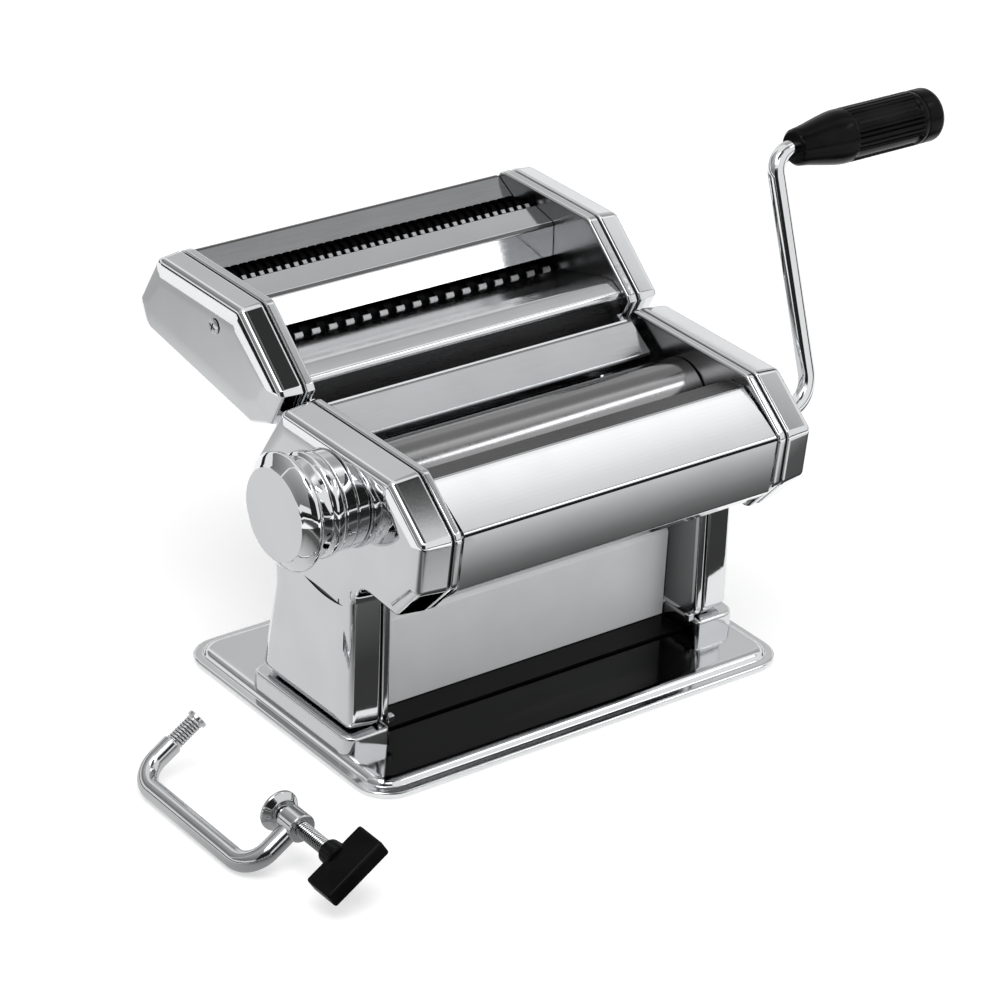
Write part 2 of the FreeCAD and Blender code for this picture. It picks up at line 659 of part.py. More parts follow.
def clamp_socket():
    """The tube in the crank side leg that takes the prong of the table clamp."""
    body = new_body("clamp_socket", *socket_tube)
    start, end = inner + S.plate_sheet, face + S.tube_stand
    turned(body, [
        (start, S.socket_tube_bore), (end, S.socket_tube_bore), (end, S.socket_tube_radius),
        (start, S.socket_tube_radius),
    ])
    return finished("clamp_socket", body)


# ---------------------------------------------------------------- sheeting rollers


def roller_bushes():
    """The fixed bearings of the front roller."""
    pieces = []
    for side in (-1, 1):
        bush = new_body("roller_bush", *front_axis)
        inside, outside = side * inner, side * seam
        bore = S.journal_radius + S.running_fit
        turned(bush, [(inside, bore), (outside, bore), (outside, S.bush_radius), (inside, S.bush_radius)])
        pieces.append(bush)
    return group("roller_bushes", pieces)


def gap_block(label, side):
    """A bearing block of the rear roller, which slides in the window of its side plate."""
    body = new_body(label, *rear_axis)
    outline = sketch_on(body, "YZ_Plane", side * inner)
    half, tall = S.block_width / 2, S.block_height / 2
    draw_lines(outline, rectangle(-half, half, -tall, tall), closed=True)
    add_pad(body, outline, S.plate_depth, side)
    bore = S.journal_radius + S.running_fit
    cut_circle(body, "YZ_Plane", side * inner, (0.0, 0.0), bore, S.plate_depth, side)
    return finished(label, body)


def sheeting_roller(label, axis):
    """A smooth roller with a journal at each end and a spigot for its gear at the crank end."""
    body = new_body(label, *axis)
    end = inner - S.roller_end_gap
    left, right = -(seam + S.end_play), seam + S.gear_start - S.end_play
    turned(body, [
        (left, 0.0), (left, S.journal_radius), (-end, S.journal_radius), (-end, S.roller_radius),
        (end, S.roller_radius), (end, S.journal_radius), (right, S.journal_radius), (right, S.spigot_radius),
        (right + S.spigot_length, S.spigot_radius), (right + S.spigot_length, 0.0),
    ])
    return finished(label, body)


def toothed(body, start, width, teeth, root, tip, root_width, tip_width, phase):
    """Adds a ring of straight teeth to the body's round blank, the first turned by phase degrees."""
    tooth = sketch_on(body, "YZ_Plane", start)
    bind(tooth, "AttachmentOffset.Rotation.Angle", phase)
    foot = root - root_width * 0.2
    draw_lines(tooth, [
        (-root_width / 2, foot), (root_width / 2, foot), (tip_width / 2, tip), (-tip_width / 2, tip),
    ], closed=True)
    first = add_pad(body, tooth, width)
    ring = body.newObject("PartDesign::PolarPattern", "Teeth")
    ring.Originals = [first]
    ring.Axis = (tooth, ["N_Axis"])
    ring.Angle = 360.0
    bind(ring, "Occurrences", teeth)
    body.Tip = ring
    doc.recompute()


def roller_gear(label, axis, bore, phase):
    """A long-toothed spur gear, which stays in mesh while the roller gap changes."""
    body = new_body(label, *axis)
    start = seam + S.gear_start
    end = start + S.gear_width
    turned(body, [(start, bore), (end, bore), (end, S.gear_root), (start, S.gear_root)])
    toothed(body, start, S.gear_width, S.gear_teeth, S.gear_root, S.gear_tip, S.gear_root_width,
            S.gear_tip_width, phase)
    return finished(label, body)


def crank_socket():
    """The sleeve on the front roller that carries its gear and takes the crank."""
    body = new_body("crank_socket", *front_axis)
    start = seam + S.gear_start - S.end_play
    blind = start + S.spigot_length + S.web_gap
    web, end = blind + S.socket_web, face + S.socket_stand
    spigot = S.spigot_radius + S.rod_fit
    turned(body, [
        (start, spigot), (blind, spigot), (blind, 0.0), (web, 0.0), (web, S.socket_bore),
        (end, S.socket_bore), (end, S.socket_radius), (start, S.socket_radius),
    ])
    return finished("crank_socket", body)


# ---------------------------------------------------------------- thickness knob


def dial_ring():
    """The fixed ring behind the knob, with a hole for the locating pin at each thickness."""
    body = new_body("dial_ring", *rear_axis)
    start, end = -face, -(face + S.dial_length)
    turned(body, [
        (start, S.dial_bore), (end, S.dial_bore), (end, S.knob_foot_radius), (start, S.knob_foot_radius),
    ])
    hole = sketch_on(body, "YZ_Plane", end)
    half = S.pin_radius + S.pin_fit
    draw_lines(hole, rectangle(-half, half, S.pin_circle - half, S.pin_circle + half), closed=True)
    first = cut_pocket(body, hole, S.pin_depth, 1)
    ring = body.newObject("PartDesign::PolarPattern", "PinHoles")
    ring.Originals = [first]
    ring.Axis = (hole, ["N_Axis"])
    ring.Angle = 360.0
    bind(ring, "Occurrences", S.pin_stops + 1)
    body.Tip = ring
    doc.recompute()
    return finished("dial_ring", body)


def knob_start():
    return face + S.dial_length + S.knob_gap


def spindle_end():
    """How far out the spindle reaches: short of the knob's end wall by the knob's travel."""
    return knob_start() + S.knob_length - S.knob_wall - S.knob_travel - S.tip_gap


def gap_cam():
    """The spindle that the knob turns: a cam disc beside the gap block and a stem out to the knob."""
    body = new_body("gap_cam", *rear_axis)
    start = -(seam + S.cam_gap)
    disc = start - S.cam_width
    tip = -spindle_end()
    under = tip + S.collar_width
    collar = S.spring_outer - S.spring_clear
    turned(body, [
        (start, 0.0), (start, S.cam_radius), (disc, S.cam_radius), (disc, S.spindle_radius),
        (under, S.spindle_radius), (under, collar), (tip, collar), (tip, 0.0),
    ])
    return finished("gap_cam", body)


def knob():
    """The thickness knob: bevelled grip, neck and rounded ring, hollow for the spindle and its spring."""
    body = new_body("thickness_knob", *rear_axis)
    start = -knob_start()
    end = start - S.knob_length
    ring_end = start - S.knob_ring_width
    rim = end + S.knob_bevel
    floor = end + S.knob_wall
    web = start - S.knob_web
    bore = S.spindle_radius + S.running_fit
    edge, chamber = S.knob_edge, S.spring_outer + S.spring_clear
    turned(body, [
        (start, bore), (start, S.knob_ring_radius - edge), (start - edge, S.knob_ring_radius),
        (ring_end + edge, S.knob_ring_radius), (ring_end, S.knob_neck_radius),
        (rim + S.knob_rim + S.knob_flare, S.knob_neck_radius), (rim + S.knob_rim, S.knob_radius),
        (rim, S.knob_radius), (end, S.knob_face_radius), (end, 0.0), (floor, 0.0),
        (floor, chamber), (web, chamber), (web, bore),
    ])
    seat = (0.0, S.pin_circle)
    cut_flats(body, "YZ_Plane", start, seat, S.pin_radius, S.rod_sides, S.pin_seat, -1)
    return finished("thickness_knob", body)


def knob_pin():
    """The locating pin pressed into the back of the knob, cut short at the mouth of its hole in the ring."""
    y, z = rear_axis
    start = -knob_start() - S.pin_seat
    length = S.pin_seat + S.knob_gap / 2
    pin = bar("knob_pin", S.pin_radius, start, length, (y, z + S.pin_circle))
    return finished("knob_pin", pin)


def knob_spring():
    """The coil that pulls the knob back against the dial ring."""
    y, z = rear_axis
    seat = spindle_end() - S.collar_width
    length = seat - knob_start() - S.knob_web - 2 * S.spring_seat
    mean = S.spring_outer - S.spring_wire
    helix = doc.addObject("Part::Helix", "spring_line")
    bind(helix, "Height", length - 2 * S.spring_wire)
    bind(helix, "Pitch", (length - 2 * S.spring_wire) / S.spring_turns)
    bind(helix, "Radius", mean)
    wire = doc.addObject("Part::RegularPolygon", "spring_section")
    wire.Polygon = 4
    bind(wire, "Circumradius", S.spring_wire)
    wire.Placement = Placement(Vector(number(mean), 0, 0), Rotation(Vector(1, 0, 0), 90))
    bind(wire, "Placement.Base.x", mean)
    coil = doc.addObject("Part::Sweep", "knob_spring")
    coil.Sections = [wire]
    coil.Spine = (helix, ["Edge1"])
    coil.Solid = True
    coil.Frenet = True
    coil.Placement = Placement(Vector(), Rotation(Vector(0, 1, 0), 90))
    for axis, size in zip("xyz", (S.spring_wire + S.spring_seat - seat, y, z)):
        bind(coil, f"Placement.Base.{axis}", size)
    return finished("knob_spring", coil)


# ---------------------------------------------------------------- crank


def crank_body(label):
    """A body whose X axis is the crank socket's and whose Z axis runs along the crank's arm."""
    body = new_body(label, *front_axis)
    turn_body(body, Vector(1, 0, 0), -S.crank_lean)
    return body


def draw_bends(sketch, points, radii):
    """A line with right-angled corners, each rounded to its own radius."""
    ways = []
    for a, b in zip(points, points[1:]):
        run = Vector(number(b[0]) - number(a[0]), number(b[1]) - number(a[1]), 0).normalize()
        ways.append((round(run.x), round(run.y)))
    start = points[0]
    for step, way in enumerate(ways):
        last = step == len(ways) - 1
        corner = points[step + 1]
        stop = corner if last else (corner[0] - way[0] * radii[step], corner[1] - way[1] * radii[step])
        draw_lines(sketch, [start, stop], closed=False)
        if last:
            return
        after = ways[step + 1]
        start = (corner[0] + after[0] * radii[step], corner[1] + after[1] * radii[step])
        draw_bend(sketch, stop, start, corner, radii[step])


def add_rod(body, role, points, radii, end_role, radius):
    """A round rod swept along a bent line that starts on the end_role plane."""
    line = sketch_on(body, role, 0.0)
    draw_bends(line, points, radii)
    section = sketch_on(body, end_role, points[0][0])
    draw_lines(section, flats((0.0, 0.0), radius, S.rod_sides), closed=True)
    pipe = body.newObject("PartDesign::AdditivePipe", "Rod")
    pipe.Profile = section
    pipe.Spine = (line, [f"Edge{n}" for n in range(1, line.GeometryCount + 1)])
    doc.recompute()


def grip_places():
    """Where the grip starts and ends along X, and how far its end cap reaches in."""
    start = S.crank_out + S.crank_high_bend + S.grip_start
    end = start + S.grip_length
    return start, end, end - S.grip_cap_length


def crank_rod():
    """The crank: one round rod, bent out of the socket, up the arm and out again under the grip."""
    body = crank_body("crank_rod")
    start, end, cap = grip_places()
    points = [
        (face + S.socket_stand - S.crank_depth, 0.0), (S.crank_out, 0.0), (S.crank_out, S.crank_arm),
        (cap, S.crank_arm),
    ]
    add_rod(body, "XZ_Plane", points, [S.crank_low_bend, S.crank_high_bend], "YZ_Plane", S.crank_rod)
    head = sketch_on(body, "YZ_Plane", cap)
    draw_circle(head, (0.0, S.crank_arm), S.rivet_radius)
    add_pad(body, head, S.rivet_height)
    return finished("crank_rod", body)


def grip_body(label):
    y = front_axis[0] + S.crank_arm * sine(S.crank_lean)
    z = front_axis[1] + S.crank_arm * cosine(S.crank_lean)
    body = new_body(label, y, z)
    turn_body(body, Vector(1, 0, 0), -S.crank_lean)
    return body


def crank_grip():
    """The moulded grip that turns on the end of the crank."""
    body = grip_body("crank_grip")
    start, end, cap = grip_places()
    bore = S.crank_rod + S.grip_fit
    edge, well = S.grip_edge, S.rivet_radius + S.rivet_clear
    turned(body, [
        (start, bore), (start, S.grip_neck - edge), (start + edge, S.grip_neck),
        (start + S.grip_taper, S.grip_radius), (cap, S.grip_radius), (cap, well),
        (cap - S.rivet_gap, well), (cap - S.rivet_gap, bore),
    ])
    return finished("crank_grip", body)


def grip_cap():
    """The rounded cap over the riveted end of the crank."""
    body = grip_body("grip_cap")
    start, end, cap = grip_places()
    well, floor = S.rivet_radius + S.rivet_clear, cap + S.rivet_height + S.rivet_gap
    turned(body, [
        (cap, well), (cap, S.grip_radius), (end - S.cap_round, S.grip_radius), (end, S.grip_end_radius),
        (end, 0.0), (floor, 0.0), (floor, well),
    ])
    return finished("grip_cap", body)


# ---------------------------------------------------------------- cutter head


def cutter_outline():
    """The cutter head seen along X; its lower front edge runs beside the slope of the machine's head."""
    run_y, run_z = S.tail_y - S.head_rear, S.head_top - S.tail_z
    foot_y = S.head_rear + (S.head_top - S.cutter_foot_z) * run_y / run_z + S.cutter_gap
    return [
        (S.cutter_top_front, S.cutter_top), (S.cutter_brow_y, S.cutter_brow_z),
        (S.cutter_tip_y, S.cutter_tip_z), (foot_y, S.cutter_foot_z), (S.cutter_toe_y, S.cutter_toe_z),
        (S.cutter_heel_y, S.cutter_heel_z), (S.cutter_rear_y, S.cutter_rear_z),
        (S.cutter_top_rear, S.cutter_top),
    ]


def round_cutter(body, side_x=None):
    points = cutter_outline()
    round_edges(body, corners_at([points[0], *points[4:]]), S.corner_round)
    round_edges(body, corners_at(points[1:4:2]), S.tip_round)
    if side_x is not None:
        round_edges(body, rim_at("x", side_x), S.cutter_round)


def cutter_plate(label, side):
    """The pan that carries the cutting rollers."""
    body = new_body(label)
    hollow = pan(body, cutter_outline(), side * cutter_seam, -side, S.cutter_plate_depth, S.plate_sheet)
    round_cutter(body)
    cut_pocket(body, hollow, S.cutter_plate_depth - S.plate_sheet, -side)
    for axis in (wide_low, wide_high, fine_front, fine_rear):
        driven = side > 0 and axis in (wide_high, fine_rear)
        radius = S.driver_radius if driven else S.cutter_journal
        cut_circle(body, "YZ_Plane", side * inner, axis, radius + S.running_fit, S.cutter_plate_depth, side)
    for rod in cutter_rods:
        radius = S.cutter_rod_radius + S.rod_fit
        cut_flats(body, "YZ_Plane", side * inner, rod, radius, S.rod_sides, S.cutter_plate_depth, side)
    return finished(label, body)


def cutter_cover(label, side):
    """The bright cover over a cutter plate; the crank side has a hole for each driven roller."""
    body = new_body(label)
    hollow = pan(body, cutter_outline(), side * cutter_seam, side, S.cutter_cover_depth, S.cutter_wall)
    round_cutter(body, side * cutter_face)
    cut_pocket(body, hollow, S.cutter_cover_depth - S.cutter_wall, side)
    if side > 0:
        window = S.driver_radius + S.cover_clear
        for axis in (wide_high, fine_rear):
            cut_circle(body, "YZ_Plane", cutter_seam, axis, window, S.cutter_cover_depth, side)
    cut_flats(body, "YZ_Plane", side * cutter_seam, cutter_screw, S.screw_shank + S.rod_fit, S.rod_sides,
              S.cutter_cover_depth, side)
    return finished(label, body)


def cutter_screws():
    """One screw through the face of each cutter cover."""
    pieces = []
    tip, top = cutter_face - S.cutter_wall - S.screw_reach, cutter_face + S.screw_head_height
    for side in (-1, 1):
        shank_start = tip if side > 0 else -cutter_face
        head_start = cutter_face if side > 0 else -top
        screw = doc.addObject("Part::Fuse", "cutter_screw")
        screw.Base = bar("screw_shank", S.screw_shank, shank_start, cutter_face - tip, cutter_screw)
        screw.Tool = bar("screw_head", S.screw_head_radius, head_start, S.screw_head_height, cutter_screw)
        pieces.append(screw)
    return group("cutter_screws", pieces)


def cutting_roller(label, axis, pitch, shifted, driver):
    """A roller turned into rings; its partner's rings run in its grooves. A driver has a crank socket."""
    body = new_body(label, *axis)
    end = inner - S.roller_end_gap
    left = -(cutter_seam + S.gear_start + S.gear_width)
    right = cutter_face + S.driver_stand if driver else cutter_seam
    line = [(left, 0.0), (left, S.cutter_journal)]
    if driver:
        floor = right - S.driver_depth
        line += [(end, S.cutter_journal), (end, S.driver_radius), (right, S.driver_radius)]
        line += [(right, S.socket_bore), (floor, S.socket_bore), (floor, 0.0)]
    else:
        line += [(right, S.cutter_journal), (right, 0.0)]
    shaft = turned(body, line)
    core = sketch_on(body, "YZ_Plane", -end)
    draw_lines(core, flats((0.0, 0.0), S.core_radius, S.ring_sides), closed=True)
    add_pad(body, core, 2 * end)
    start = -ring_span / 2 + S.ring_clear / 2 + (pitch / 2 if shifted else 0.0)
    ring = sketch_on(body, "YZ_Plane", start)
    draw_lines(ring, flats((0.0, 0.0), S.ring_radius, S.ring_sides), closed=True)
    first = add_pad(body, ring, pitch / 2 - S.ring_clear)
    rings = body.newObject("PartDesign::LinearPattern", "Rings")
    rings.Originals = [first]
    rings.Direction = (shaft, ["H_Axis"])
    rings.Mode = "Spacing"
    bind(rings, "Offset", pitch)
    bind(rings, "Occurrences", whole(ring_span / pitch))
    body.Tip = rings
    doc.recompute()
    return finished(label, body)


def cutter_gear(label, axis, phase):
    """A small spur gear on the knob side end of a cutting roller."""
    body = new_body(label, *axis)
    width = S.small_gear_width
    start = -(cutter_seam + S.small_gear_start + width)
    bore = S.cutter_journal + S.rod_fit
    end = start + width
    turned(body, [(start, bore), (end, bore), (end, S.small_root), (start, S.small_root)])
    toothed(body, start, width, S.small_teeth, S.small_root, S.small_tip, S.small_root_width,
            S.small_tip_width, phase)
    return finished(label, body)


def cutter_sheets():
    """The three plates over the cutting rollers: rear, middle and front; each leads a sheet into a nip."""
    bent_sheet("cutter_rear_plate", [
        (S.rear_tip_y, S.rear_tip_z), (S.rear_rise_y, S.rear_rise_z), (S.rear_edge_y, S.rear_edge_z),
        (S.rear_foot_y, S.rear_foot_z),
    ], sheet_half, S.sheet)
    bent_sheet("cutter_middle_plate", [
        (S.fine_sill_y, S.fine_sill_z - S.sill_drop), (S.fine_sill_y, S.fine_sill_z),
        (S.crease_y, S.crease_z),
        (S.wall_top_y, S.wall_top_z), (S.wall_foot_y, S.wall_foot_z),
    ], sheet_half, S.sheet)
    bent_sheet("cutter_front_plate", [
        (S.wide_sill_y, S.wide_sill_z - S.sill_drop), (S.wide_sill_y, S.wide_sill_z), (S.roll_y, S.roll_z),
        (S.roll_top_y, S.roll_top_z), (S.roll_front_y, S.roll_front_z), (S.hem_y, S.hem_z),
    ], sheet_half, S.sheet)


def cutter_tie_rods():
    start = -(inner + S.plate_sheet + S.rod_reach)
    return group("cutter_tie_rods",
                 [bar("cutter_rod", S.cutter_rod_radius, start, -2 * start, rod) for rod in cutter_rods])


def cutter_hooks():
    """A hook plate inside each cutter plate, open below, which hangs on the machine's rear tie rod."""
    slope = Size(math.degrees(math.atan2(number(S.tail_y - S.head_rear), number(S.head_top - S.tail_z))),
                 f"atan2({(S.tail_y - S.head_rear).text}; {(S.head_top - S.tail_z).text})")
    pieces = []
    for side in (-1, 1):
        hook = new_body("cutter_hook", *hook_rod)
        turn_body(hook, Vector(1, 0, 0), slope)
        slot = S.rod_radius + S.hook_fit
        bevel = slot * math.tan(math.radians(22.5))
        outer = inner - S.hook_gap
        plate = sketch_on(hook, "YZ_Plane", side * outer)
        draw_lines(plate, [
            (-S.hook_front, -S.hook_tail), (-slot, -S.hook_tail), (-slot, bevel), (-bevel, slot),
            (bevel, slot), (slot, bevel), (slot, -S.hook_tail), (S.hook_rear, -S.hook_tail),
            (S.hook_rear, S.hook_head), (-S.hook_front, S.hook_head),
        ], closed=True)
        add_pad(hook, plate, S.hook_thickness, -side)
        boss = sketch_on(hook, "YZ_Plane", side * outer)
        front = S.hook_rear - S.hook_boss
        draw_lines(boss, rectangle(front, S.hook_rear, -S.hook_tail, S.hook_head), closed=True)
        add_pad(hook, boss, S.hook_gap, side)
        pieces.append(hook)
    return group("cutter_hooks", pieces)


# ---------------------------------------------------------------- table clamp


def clamp_body(label):
    """A body whose origin is the bend below the prong; X runs up the prong, -Y along the back."""
    body = new_body(label, -S.clamp_y, S.clamp_rod, -S.clamp_x)
    turn_body(body, Vector(0, 1, 0), -S.clamp_tilt)
    return body


def clamp_rod():
    """The C of the clamp, lying on its back beside the machine, with its prong and its eye."""
    body = clamp_body("clamp_rod")
    reach = S.clamp_opening
    points = [(S.clamp_prong, 0.0), (0.0, 0.0), (0.0, -reach), (S.clamp_arm, -reach)]
    add_rod(body, "XY_Plane", points, [S.clamp_bend, S.clamp_bend], "YZ_Plane", S.clamp_rod)
    prong, tip = S.clamp_prong, S.clamp_prong + S.clamp_spigot
    turned(body, [
        (prong, 0.0), (prong, S.clamp_spigot_radius), (tip - S.clamp_flange, S.clamp_spigot_radius),
        (tip - S.clamp_flange, S.clamp_flange_radius), (tip, S.clamp_flange_radius), (tip, 0.0),
    ])
    half = S.clamp_eye_length / 2
    eye = sketch_on(body, "XZ_Plane", reach - half)
    draw_circle(eye, (S.clamp_arm, 0.0), S.clamp_eye)
    add_pad(body, eye, S.clamp_eye_length)
    cut_circle(body, "XZ_Plane", reach - half - 1.0, (S.clamp_arm, 0.0),
               S.clamp_screw_radius + S.running_fit, S.clamp_eye_length + 2.0)
    return finished("clamp_rod", body)


def clamp_axis_body(label):
    """A body on the axis of the clamp's screw: local Y runs along the screw, 0 in the middle of the eye."""
    tilt = S.clamp_tilt
    body = new_body(label, -(S.clamp_y + S.clamp_opening), S.clamp_rod + S.clamp_arm * sine(tilt),
                    -S.clamp_x + S.clamp_arm * cosine(tilt))
    turn_body(body, Vector(0, 1, 0), -tilt)
    return body


def spun(body, points):
    """Revolves a (radius, y) outline about the body's own Y axis."""
    sketch = sketch_on(body, "XY_Plane", 0.0)
    draw_lines(sketch, points, closed=True)
    turn = body.newObject("PartDesign::Revolution", "Turned")
    turn.Profile = sketch
    turn.ReferenceAxis = (sketch, ["V_Axis"])
    turn.Angle = 360.0
    doc.recompute()


def clamp_screw():
    """The clamp's screw, with a ball neck in the pad at one end and the knob on the other."""
    body = clamp_axis_body("clamp_screw")
    top = S.clamp_eye_length / 2 + S.clamp_pad_gap
    low = top - S.clamp_screw_length
    neck, shoulder = S.clamp_neck, top - S.neck_drop
    spun(body, [
        (0.0, low), (S.clamp_screw_radius, low), (S.clamp_screw_radius, shoulder), (neck, shoulder),
        (neck, top + S.neck_rise), (0.0, top + S.neck_rise),
    ])
    return finished("clamp_screw", body)


def clamp_pad():
    """The round pad that bears on the underside of the table."""
    body = clamp_axis_body("clamp_pad")
    low = S.clamp_eye_length / 2 + S.clamp_pad_gap - S.neck_drop + S.neck_play
    high = low + S.clamp_pad_height
    ceiling = S.clamp_eye_length / 2 + S.clamp_pad_gap + S.neck_rise + S.neck_play
    bore = S.clamp_neck + S.running_fit
    spun(body, [
        (bore, low), (S.clamp_pad_radius - S.pad_slope, low), (S.clamp_pad_radius, high - S.pad_rim),
        (S.clamp_pad_radius, high), (0.0, high), (0.0, ceiling), (bore, ceiling),
    ])
    return finished("clamp_pad", body)


def clamp_knob():
    """The wing knob on the end of the clamp's screw."""
    body = clamp_axis_body("clamp_knob")
    low = S.clamp_eye_length / 2 + S.clamp_pad_gap - S.clamp_screw_length
    wing_top = low + S.hub_grip
    top = wing_top + S.hub_length
    bore = S.clamp_screw_radius + S.rod_fit
    spun(body, [
        (bore, top), (S.hub_radius - S.hub_edge, top), (S.hub_radius, top - S.hub_edge),
        (S.hub_radius, wing_top - S.hub_edge), (bore, wing_top - S.hub_edge),
    ])
    wing = sketch_on(body, "XZ_Plane", -wing_top)
    long, flat = S.wing_length / 2, S.wing_thickness / 2
    draw_lines(wing, rectangle(-long, long, -flat, flat), closed=True)
    add_pad(body, wing, S.wing_depth)
    cut_circle(body, "XZ_Plane", -wing_top - S.hub_edge, (0.0, 0.0), bore, S.hub_grip + S.hub_edge)
    return finished("clamp_knob", body)


# ---------------------------------------------------------------- assembly


def build():
    base_tray()
    rubber_feet()
    foot_screws()
    for name, side in (("left", -1), ("right", 1)):
        side_plate(f"{name}_side_plate", side)
        side_cover(f"{name}_side_cover", side)
        gap_block(f"{name}_gap_block", side)
        cutter_plate(f"{name}_cutter_plate", side)
        cutter_cover(f"{name}_cutter_cover", side)
    front_hood()
    feed_plate()
    back_cover()
    cross_panel()
    tie_rods()
    clamp_socket()
    roller_bushes()
    sheeting_roller("front_roller", front_axis)
    sheeting_roller("rear_roller", rear_axis)
    roller_gear("front_gear", front_axis, S.socket_radius + S.rod_fit, 0.0)
    roller_gear("rear_gear", rear_axis, S.spigot_radius + S.rod_fit, Size(180.0, "180") / S.gear_teeth)
    crank_socket()
    dial_ring()
    gap_cam()
    knob()
    knob_pin()
    knob_spring()
    crank_rod()
    crank_grip()
    grip_cap()
    cutting_roller("wide_lower_roller", wide_low, S.wide_pitch, False, False)
    cutting_roller("wide_upper_roller", wide_high, S.wide_pitch, True, True)
    cutting_roller("fine_front_roller", fine_front, S.fine_pitch, False, False)
    cutting_roller("fine_rear_roller", fine_rear, S.fine_pitch, True, True)
    cutter_gear("wide_lower_gear", wide_low, -S.wide_lean)
    cutter_gear("wide_upper_gear", wide_high, Size(180.0, "180") / S.small_teeth - S.wide_lean)
    cutter_gear("fine_front_gear", fine_front, -S.fine_lean)
    cutter_gear("fine_rear_gear", fine_rear, Size(180.0, "180") / S.small_teeth - S.fine_lean)
    cutter_screws()
    cutter_sheets()
    cutter_tie_rods()
    cutter_hooks()
    clamp_rod()
    clamp_screw()
    clamp_pad()
    clamp_knob()


def check_and_export():
    """Stops on a failed object or a bad solid, and writes one file per node."""
    doc.recompute()
    for item in doc.Objects:
        if "Invalid" in item.State or "Error" in item.State:
            raise RuntimeError(f"{item.Name} ({item.Label}) failed: {item.State}")
    for node in nodes:
        if node.Shape.isNull() or not node.Shape.isValid() or not node.Shape.Solids:
            raise RuntimeError(f"{node.Label} has no valid solid")
    os.makedirs("parts", exist_ok=True)
    for node in nodes:
        node.Shape.exportStep(f"parts/{node.Label}.step")


build()
check_and_export()
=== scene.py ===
"""Looks of the hand cranked pasta machine: detailed pieces over its CAD solids, and the studio around them.

Sizes are in millimetres, in the frame shared with the CAD: +X to the crank, +Y to the cutter head, +Z up.
"""
import math

import bmesh
import bpy
from mathutils import Matrix, Vector


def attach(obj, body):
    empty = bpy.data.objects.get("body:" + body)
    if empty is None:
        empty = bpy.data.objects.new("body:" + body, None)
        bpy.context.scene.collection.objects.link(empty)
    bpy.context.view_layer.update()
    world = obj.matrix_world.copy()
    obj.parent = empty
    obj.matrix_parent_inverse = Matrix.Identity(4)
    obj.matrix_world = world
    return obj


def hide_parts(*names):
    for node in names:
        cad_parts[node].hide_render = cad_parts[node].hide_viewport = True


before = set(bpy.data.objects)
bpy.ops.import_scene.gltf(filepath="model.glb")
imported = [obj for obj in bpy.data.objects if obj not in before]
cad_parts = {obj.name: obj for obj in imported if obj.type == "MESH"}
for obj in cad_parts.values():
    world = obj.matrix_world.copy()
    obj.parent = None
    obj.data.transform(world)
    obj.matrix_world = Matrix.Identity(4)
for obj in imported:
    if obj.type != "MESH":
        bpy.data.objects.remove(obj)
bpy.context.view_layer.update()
scene = bpy.context.scene
MM = 0.001

# ---- places, from the CAD sizes

INNER, SEAM, FACE, RING_SPAN = 74.4, 78.4, 93.0, 144.0
CUTTER_SEAM, CUTTER_FACE = 79.4, 91.4
PLATE_SHEET, SHEET_THICKNESS, ROLLER_END = 1.8, 1.0, INNER - 0.4
CRANK_OUT, CRANK_ARM, CRANK_END, CRANK_LEAN = 112.0, 98.9, 184.5, -20.4
CLAMP_OPENING, CLAMP_ARM, CLAMP_TILT = 73.7, 23.4, -33.9
FRONT_AXIS, REAR_AXIS = (-53.0, 105.6), (-20.0, 105.6)
WIDE_LOW, WIDE_HIGH = (70.5, 124.1), (73.43, 135.43)
FINE_FRONT, FINE_REAR = (86.0, 144.2), (96.99, 140.2)
BODY_RODS = [(-58.3, 83.5), (8.0, 86.0), (17.0, 110.0)]
CUTTER_RODS = [(42.5, 121.5), (108.0, 128.8)]
CUTTER_SCREW = (59.0, 143.0)
TUBE_AXIS = (-8.0, 26.0)
SIDE_OUTLINE = [
    (-38.0, 13.0), (-36.0, 76.5), (-62.3, 74.5), (-76.0, 90.0), (-77.6, 111.0), (-55.5, 128.4),
    (14.0, 128.4), (31.5, 100.0), (16.0, 57.0), (24.0, 13.0),
]
SIDE_RADII = [5.0, 8.0, 5.0, 5.0, 5.0, 5.0, 5.0, 5.0, 24.0, 5.0]
# The cutter head's lower front corner lies 1.08 mm behind the sloped rear edge of the side covers.
FOOT_Y = 14.0 + (128.4 - 115.5) * 17.5 / 28.4 + 1.08
CUTTER_OUTLINE = [
    (44.5, 155.8), (17.1, 132.9), (15.6, 130.4), (FOOT_Y, 115.5), (36.5, 110.6), (110.0, 121.8),
    (115.5, 132.5), (102.0, 155.8),
]
CUTTER_RADII = [5.0, 1.65, 0.3, 1.65, 5.0, 8.0, 5.0, 7.0]
SIDE_SPINE = [((-52.0, 102.0), (6.0, 108.0)), ((-8.0, 100.0), (-9.0, 28.0))]
CUTTER_SPINE = [((38.0, 132.0), (96.0, 139.0))]


# ---- materials


def new_material(name):
    material = bpy.data.materials.new(name)
    material.use_nodes = True
    tree = material.node_tree
    return material, tree, tree.nodes["Principled BSDF"]


def add_node(tree, kind, inputs=(), **settings):
    """A shader node with its settings; each input takes a value or another node's socket."""
    node = tree.nodes.new("ShaderNode" + kind)
    for name, value in settings.items():
        setattr(node, name, value)
    for key, value in dict(inputs).items():
        if isinstance(value, bpy.types.NodeSocket):
            tree.links.new(value, node.inputs[key])
        else:
            node.inputs[key].default_value = value
    return node


def math_node(tree, operation, *values):
    return add_node(tree, "Math", enumerate(values), operation=operation).outputs[0]


def own_place(tree):
    return add_node(tree, "TexCoord").outputs["Object"]


def own_axis(tree, axis):
    return add_node(tree, "SeparateXYZ", {0: own_place(tree)}).outputs[axis]


